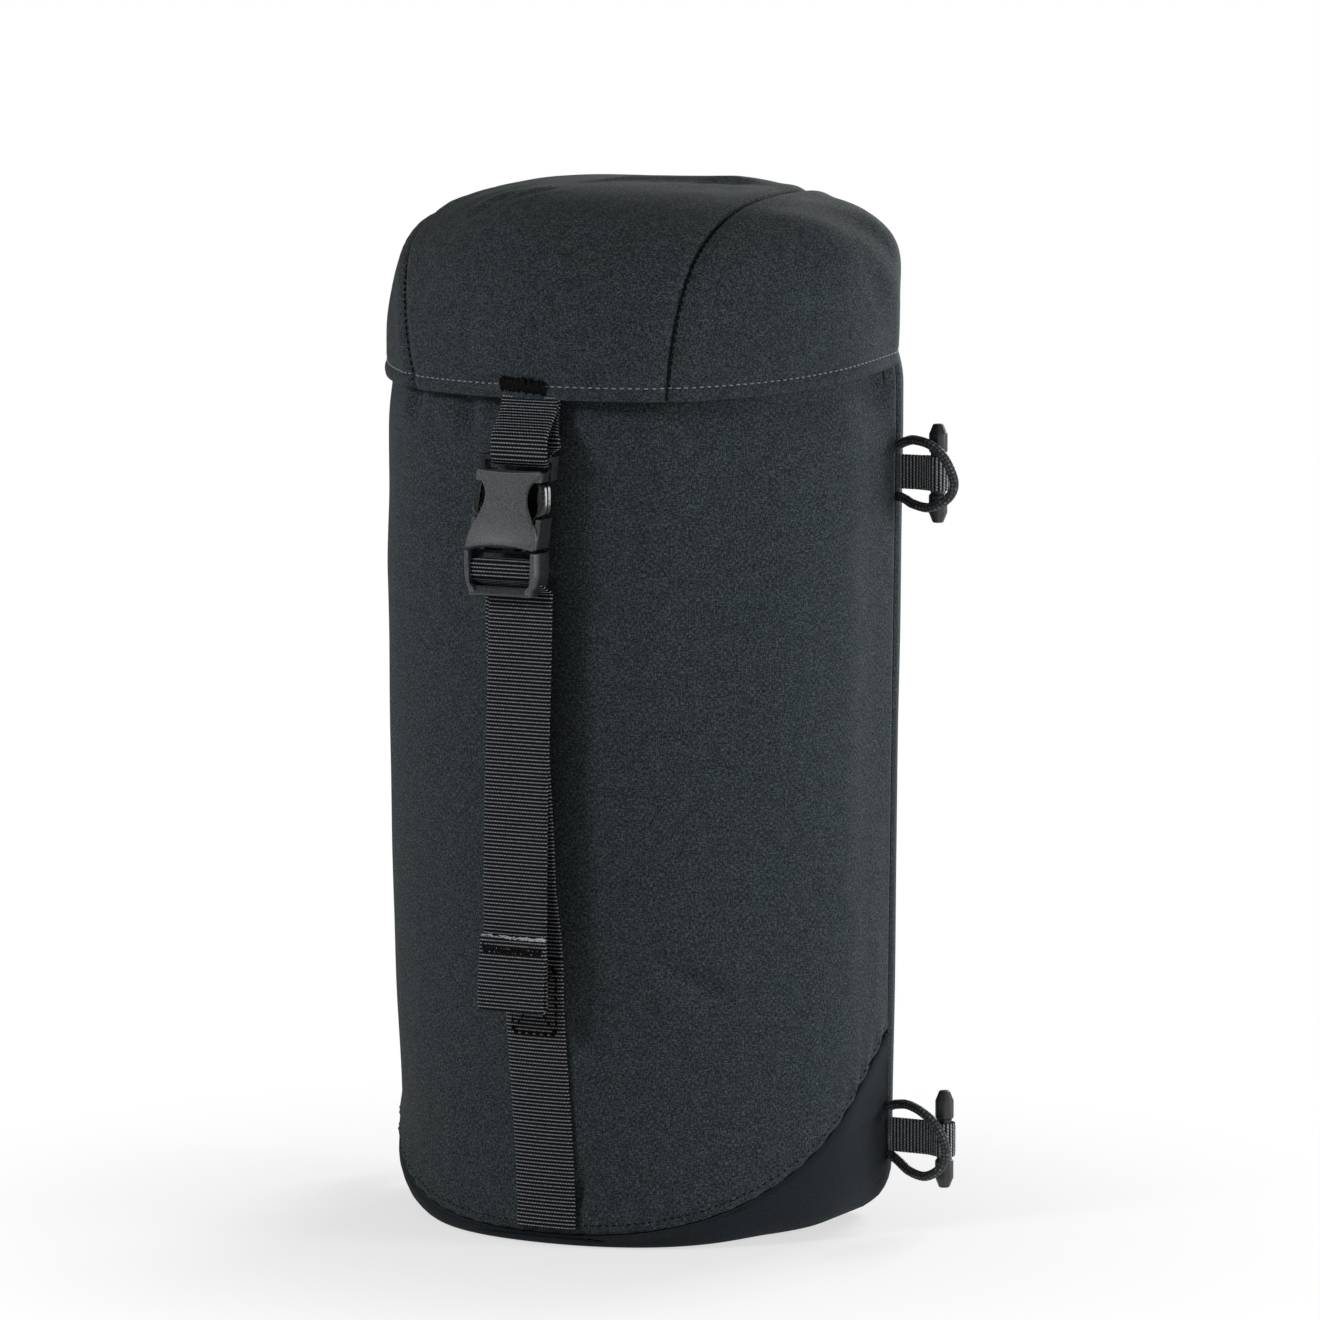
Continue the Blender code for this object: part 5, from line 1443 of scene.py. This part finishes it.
class POCKET_OT_buckle(bpy.types.Operator):
    """Moulds the side release buckle: socket, plug with its ladder frame, and two spring prongs"""

    bl_idname = "pocket.buckle"
    bl_label = "Buckle"

    def execute(self, context):
        plastic, polished = finish_of("plastic"), finish_of("polished")
        dress(self.socket(plastic), "socket", ["buckle_socket"])
        dress(self.plug(plastic), "plug", ["buckle_plug"])
        for hand, side in HANDS:
            dress(self.prong(hand, side, polished), f"{hand}_prong", [f"prong_{hand}"])
        return {"FINISHED"}

    def socket(self, plastic):
        """The female half: an hourglass front and back over two side windows, with a frame for the strap."""
        foot, front, back = SOCKET_LOW.z, BUCKLE_Y - BUCKLE_DEEP, BUCKLE_Y + BUCKLE_DEEP
        levels = [(0.0004, 0.0113), (0.0036, 0.0112), (0.0070, 0.0102), (0.0104, 0.0084), (0.0142, 0.0069),
                  (0.0180, 0.0069), (0.0208, 0.0085), (0.0228, 0.0101), (0.0241, 0.0103)]
        plate = [(-half, half, foot + z) for z, half in catmull(levels, 6)]
        work = bmesh.new()
        strip(work, plate, front, front + 0.0020)
        strip(work, plate[:-9], back - 0.0020, back)
        for side in (1, -1):
            flank = sorted((side * 0.0100, side * 0.0115))
            block(work, *flank, front + 0.0017, back - 0.0002, foot + 0.0006, foot + 0.0096)
            arm = sorted((side * 0.0105, side * 0.0121))
            block(work, *arm, BUCKLE_Y + 0.0004, back - 0.0008, foot + 0.0208, SOCKET_TOP)
            cheek = sorted((side * 0.0086, side * 0.0108))
            block(work, *cheek, front + 0.0008, back - 0.0002, foot + 0.0206, foot + 0.0234)
        block(work, -0.0106, 0.0106, front + 0.0008, back - 0.0002, foot + 0.0208, foot + 0.0226)
        block(work, -0.0116, 0.0116, BUCKLE_Y - SOCKET_BAR_HALF + 0.0002, BUCKLE_Y + SOCKET_BAR_HALF - 0.0002,
              SOCKET_BAR_FOOT, SOCKET_TOP)

        def swell(points):
            """Rounds the front plate across its width, arches its foot and dips its brow."""
            x, y, z = points.T
            near = smooth((front + 0.0022 - y) / 0.0010)
            middle = np.clip(1 - (x / 0.0114) ** 2, 0.0, 1.0)
            y -= 0.0008 * near * middle + 0.0006 * near * smooth((foot + 0.013 - z) / 0.013) ** 2
            arch, dip = smooth((foot + 0.005 - z) / 0.005), smooth((z - foot - 0.02) / 0.004)
            z += near * middle * (0.0015 * arch - 0.0006 * dip)
            return points

        return moulded("buckle_socket_moulding", work, plastic, swell)

    def plug(self, plastic):
        """The male half: a frame with a ladder bar and a slanted bar for the strap, and a guide blade."""
        front, back = BUCKLE_Y - BUCKLE_DEEP, BUCKLE_Y + BUCKLE_DEEP
        lift = BUCKLE_Y - PLUG_Y
        work = bmesh.new()
        for side in (1, -1):
            arm = [(0.0104, PLUG_TOP), (0.0117, PLUG_TOP), (0.0117, PLUG_FOOT + 0.0066),
                   (0.0110, PLUG_FOOT + 0.0030), (0.0096, PLUG_FOOT), (0.0084, PLUG_FOOT),
                   (0.0086, PLUG_FOOT + 0.0022), (0.0100, PLUG_FOOT + 0.0036)]
            prism(work, [(side * x, z) for x, z in arm], front, back)
        block(work, -0.0116, 0.0116, BUCKLE_Y + 0.0008, back, PLUG_TOP - 0.0011, PLUG_TOP)
        block(work, -0.0112, 0.0112, BAR_Y + lift - BAR_HALF, BAR_Y + lift + BAR_HALF, BAR_FOOT, BAR_TOP)
        slant = [(front - 0.0006, PLUG_FOOT + 0.0006), (front + 0.0004, PLUG_FOOT),
                 (END_BAR_BACK + lift, PLUG_FOOT), (END_BAR_BACK + lift, END_BAR_TOP - 0.0006),
                 (front + 0.0022, END_BAR_TOP)]
        prism(work, slant, -0.0101, 0.0101, along="x")
        low, high = 0.0020, 0.0014
        guide = [(-low, PLUG_TOP - 0.0006), (low, PLUG_TOP - 0.0006),
                 (high, PLUG_HIGH.z), (-high, PLUG_HIGH.z)]
        prism(work, guide, BUCKLE_Y + 0.0008, BUCKLE_Y + 0.0026)

        def swell(points):
            """Rounds the frame's two sides from front to back."""
            depth = (points[:, 1] - BUCKLE_Y) / BUCKLE_DEEP
            outer = smooth((np.abs(points[:, 0]) - 0.0102) / 0.0014)
            points[:, 0] += np.sign(points[:, 0]) * outer * 0.0008 * (1 - depth ** 2)
            return points

        return moulded("buckle_plug_moulding", work, plastic, swell)

    def prong(self, hand, side, polished):
        """A spring arm that ends in a round pad, which shows in the socket's side window."""
        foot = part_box(f"prong_{hand}")[0].z
        half_deep = 0.0026
        levels = [(0.0062, 0.0078, 0.0), (0.0074, 0.0092, 0.0090), (0.0094, 0.0113, 0.0104),
                  (0.0103, 0.0123, 0.0124), (0.0101, 0.0117, 0.0180), (0.0095, 0.0110, 0.0198),
                  (0.0088, 0.0098, 0.0204)]
        rows = [(*sorted((side * a, side * b)), foot + z) for a, b, z in catmull(levels, 4)]
        work = bmesh.new()
        strip(work, rows, BUCKLE_Y - half_deep, BUCKLE_Y + half_deep)

        def swell(points):
            """Rounds the pad from front to back, with a shallow channel down its middle."""
            depth = (points[:, 1] - BUCKLE_Y) / half_deep
            outer = smooth((np.abs(points[:, 0]) - 0.0085) / 0.002)
            channel = 0.0008 * hump(depth - 0.1, 0.30)
            points[:, 0] += side * outer * (0.0010 * (1 - depth ** 2) - channel - 0.0006)
            return points

        return moulded(f"prong_{hand}_moulding", work, polished, swell)


# Toggle tabs

class POCKET_OT_tabs(bpy.types.Operator):
    """Makes the four toggle tabs: webbing loop, toggle bar and elastic cord loop"""

    bl_idname = "pocket.tabs"
    bl_label = "Toggle tabs"

    def execute(self, context):
        for end, (hand, side) in itertools.product(("upper", "lower"), HANDS):
            body = f"{end}_{hand}_tab"
            root = JOINT_AT[f"{body}_swing"]
            pivot = JOINT_AT[f"{end}_{hand}_toggle_spin"]
            reach = (pivot - root).xy.length
            out = np.array([*(pivot - root).xy / reach, 0.0])
            behind = side * np.array([-out[1], out[0], 0.0])
            self.loop(end, hand, body, np.array(root), out, behind, reach)
            self.toggle(end, hand, pivot)
            self.cord(end, hand, body, np.array(root), out, behind)
        return {"FINISHED"}

    def loop(self, end, hand, body, root, out, behind, reach):
        """The webbing, from the seam round the toggle and back."""
        low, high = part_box(f"tab_{end}_{hand}")
        apart, radius, opening = 0.00045, 0.00305, 48
        neck = reach - 0.0058
        front = [(0.0, -apart), (neck * 0.5, -apart * 1.2), (neck, -apart * 1.6)]
        turn = np.radians(np.linspace(180 + opening, 540 - opening, 17))
        around_bar = [(reach + radius * math.cos(a), radius * math.sin(a)) for a in turn]
        line = catmull(front + around_bar + [(x, -y) for x, y in front[::-1]], 5)
        middle = root + out * line[:, :1] + behind * line[:, 1:]
        web = ribbon(f"tab_{end}_{hand}_webbing", middle, UPWARD, high.z - low.z, TAB_THICK,
                     finish_of("tab_webbing"))
        dress(web, nodes=[f"tab_{end}_{hand}"])
        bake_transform(web)

    def toggle(self, end, hand, pivot):
        """The bar: eight soft flats, chamfered ends and a waist for the loop."""
        low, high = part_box(f"toggle_{end}_{hand}")
        tall, full = high.z - low.z, (high.x - low.x) / 2
        tip, waist, waist_half = 0.0017, 0.0023, 0.0061
        profile = [(0.0, 0.0), (tip - 0.0003, 0.0), (tip, 0.0002), (full - 0.0002, 0.0026), (full, 0.0030),
                   (full, tall / 2 - waist_half - 0.0006), (waist, tall / 2 - waist_half), (waist, tall / 2)]
        profile += [(r, tall - h) for r, h in profile[-2::-1]]
        sides = 48
        angle = full_turn(sides)
        flat = math.pi / 8
        wave = np.cos(flat) / np.cos((angle + flat) % (2 * flat) - flat)
        soft = 1 - 0.75 * (1 - wave / wave.max())
        ring_x, ring_y = soft * np.cos(angle), soft * np.sin(angle)
        rings = [points_at(pivot.x + radius * ring_x, pivot.y + radius * ring_y, low.z + height)
                 for radius, height in profile[1:-1]]
        faces = tube_faces(len(rings), sides)
        bar = piece(f"toggle_{end}_{hand}_bar", rings, faces, finish_of("toggle"))
        edge = bar.modifiers.new("soft_edges", "BEVEL")
        edge.width, edge.segments, edge.angle_limit = 0.00018, 2, math.radians(25)
        bar.data.set_sharp_from_angle(angle=math.radians(35))
        dress(bar, f"{end}_{hand}_toggle", [f"toggle_{end}_{hand}"])

    def cord(self, end, hand, body, root, out, behind):
        """Elastic cord sewn into the seam above the tab, looped in front of the toggle and back below it."""
        route = UPPER_ROUTE if end == "upper" else LOWER_ROUTE
        points = [root + out * (away - TAB_STANDOFF) + behind * back + np.array([0.0, 0.0, up])
                  for away, back, up in route]
        step, sides, into_seam = 0.00035, 24, out * 0.0016
        line, gone = even_steps(catmull(points, 16), step)
        sewn = np.vstack([line[:1] - into_seam, line, line[-1:] - into_seam])
        cord = braided_tube(f"cord_{end}_{hand}_braid", sewn, CORD_DIAMETER / 2 - BRAID_HEIGHT, sides,
                            finish_of("cord"))
        dress(cord, nodes=[f"cord_{end}_{hand}"])
        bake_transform(cord)


# Stage

CAMERA_TURN, CAMERA_RISE = math.radians(27.06), math.radians(7.51)
CAMERA_AWAY, CAMERA_LENS = 2.5692, 230.3
CAMERA_TARGET = Vector((0.0, 0.0, 0.16))
FRAME_RIGHT, FRAME_UP = 0.01397, 0.01164
FLOOR_HALF, FLOOR_DROP = 9.0, 0.0002
LAMPS = [
    ("key_softbox", (-0.80, -1.32, 0.98), 0.45, 13.5),
    ("back_strip", (0.10, 1.30, 0.58), 0.60, 16.0),
    ("right_strip", (1.45, 0.25, 0.36), 0.60, 13.0),
]


class POCKET_OT_stage(bpy.types.Operator):
    """Sets the white paper floor, three softboxes, the world and the camera"""

    bl_idname = "pocket.stage"
    bl_label = "Stage"

    def execute(self, context):
        self.floor()
        self.lamps()
        context.scene.world = self.air()
        context.scene.camera = self.camera()
        context.scene.view_settings.view_transform = "Standard"
        return {"FINISHED"}

    def floor(self):
        """A wide sheet just under the pocket."""
        corners = [(-1, -1), (1, -1), (1, 1), (-1, 1)]
        mesh = bpy.data.meshes.new("studio_floor")
        places = [(x * FLOOR_HALF, y * FLOOR_HALF, -FLOOR_DROP) for x, y in corners]
        mesh.from_pydata(places, [], [range(len(places))])
        mesh.materials.append(finish_of("floor"))
        floor = placed("studio_floor", mesh)

    def lamps(self):
        """Round softboxes, each turned to the pocket."""
        for name, place, across, power in LAMPS:
            lamp = bpy.data.lights.new(name, "AREA")
            lamp.shape, lamp.size, lamp.energy = "DISK", across, power
            obj = placed(name, lamp)
            obj.location = place
            obj.rotation_euler = (CAMERA_TARGET - Vector(place)).to_track_quat("-Z", "Y").to_euler()

    def air(self):
        """White to the camera, dimmer as light on the pocket."""
        world = bpy.data.worlds.new("studio_air")
        world.use_nodes = True
        tree = world.node_tree
        sky = tree.nodes["Background"]
        sky.inputs["Color"].default_value = (1, 1, 1, 1)
        path = add_node(tree, "LightPath").outputs
        seen = add_node(tree, "Math", {"operation": "ADD", "use_clamp": True},
                        {0: path["Is Camera Ray"], 1: path["Is Transmission Ray"]})
        glow = add_node(tree, "MapRange", {"To Min": 0.18, "To Max": 1.0}, {"Value": seen})
        feed(tree, sky, {"Strength": glow})
        return world

    def camera(self):
        """A long lens, to the right of the front and a little above."""
        level = math.cos(CAMERA_RISE)
        back = Vector((math.sin(CAMERA_TURN) * level, -math.cos(CAMERA_TURN) * level, math.sin(CAMERA_RISE)))
        right = Vector((math.cos(CAMERA_TURN), math.sin(CAMERA_TURN), 0.0))
        aim = CAMERA_TARGET + right * FRAME_RIGHT + back.cross(right) * FRAME_UP
        lens = bpy.data.cameras.new("camera")
        lens.lens, lens.sensor_width = CAMERA_LENS, 36.0
        lens.clip_end = 50.0
        camera = placed("camera", lens)
        camera.location = aim + back * CAMERA_AWAY
        camera.rotation_euler = back.to_track_quat("Z", "Y").to_euler()
        return camera


class POCKET_PT_panel(bpy.types.Panel):
    """Lists the pocket's builders, sizes and colours"""

    bl_idname = "POCKET_PT_panel"
    bl_label = "Side pocket"
    bl_space_type = "VIEW_3D"
    bl_region_type = "UI"
    bl_category = "Side pocket"

    def draw(self, context):
        layout = self.layout
        for operator in OPERATORS:
            layout.operator(operator.bl_idname)
        for group in (context.scene.pocket_sizes, context.scene.pocket_colours):
            box = layout.box()
            for name in group.__annotations__:
                box.prop(group, name)


OPERATORS = (POCKET_OT_body, POCKET_OT_lid, POCKET_OT_tapes, POCKET_OT_stitching, POCKET_OT_strap,
             POCKET_OT_buckle, POCKET_OT_tabs, POCKET_OT_stage)
CLASSES = (PocketSizes, PocketColours, *OPERATORS, POCKET_PT_panel)


def register():
    """Adds the classes and the settings."""
    for cls in CLASSES:
        bpy.utils.register_class(cls)
    bpy.types.Scene.pocket_sizes = PointerProperty(type=PocketSizes)
    bpy.types.Scene.pocket_colours = PointerProperty(type=PocketColours)


def unregister():
    """Takes the settings and the classes away again."""
    del bpy.types.Scene.pocket_colours
    del bpy.types.Scene.pocket_sizes
    for cls in reversed(CLASSES):
        bpy.utils.unregister_class(cls)


def main():
    """Builds every piece and the stage."""
    register()
    bpy.ops.pocket.body()
    bpy.ops.pocket.lid()
    bpy.ops.pocket.tapes()
    bpy.ops.pocket.stitching()
    bpy.ops.pocket.strap()
    bpy.ops.pocket.buckle()
    bpy.ops.pocket.tabs()
    bpy.ops.pocket.stage()


if __name__ == "__main__":
    main()
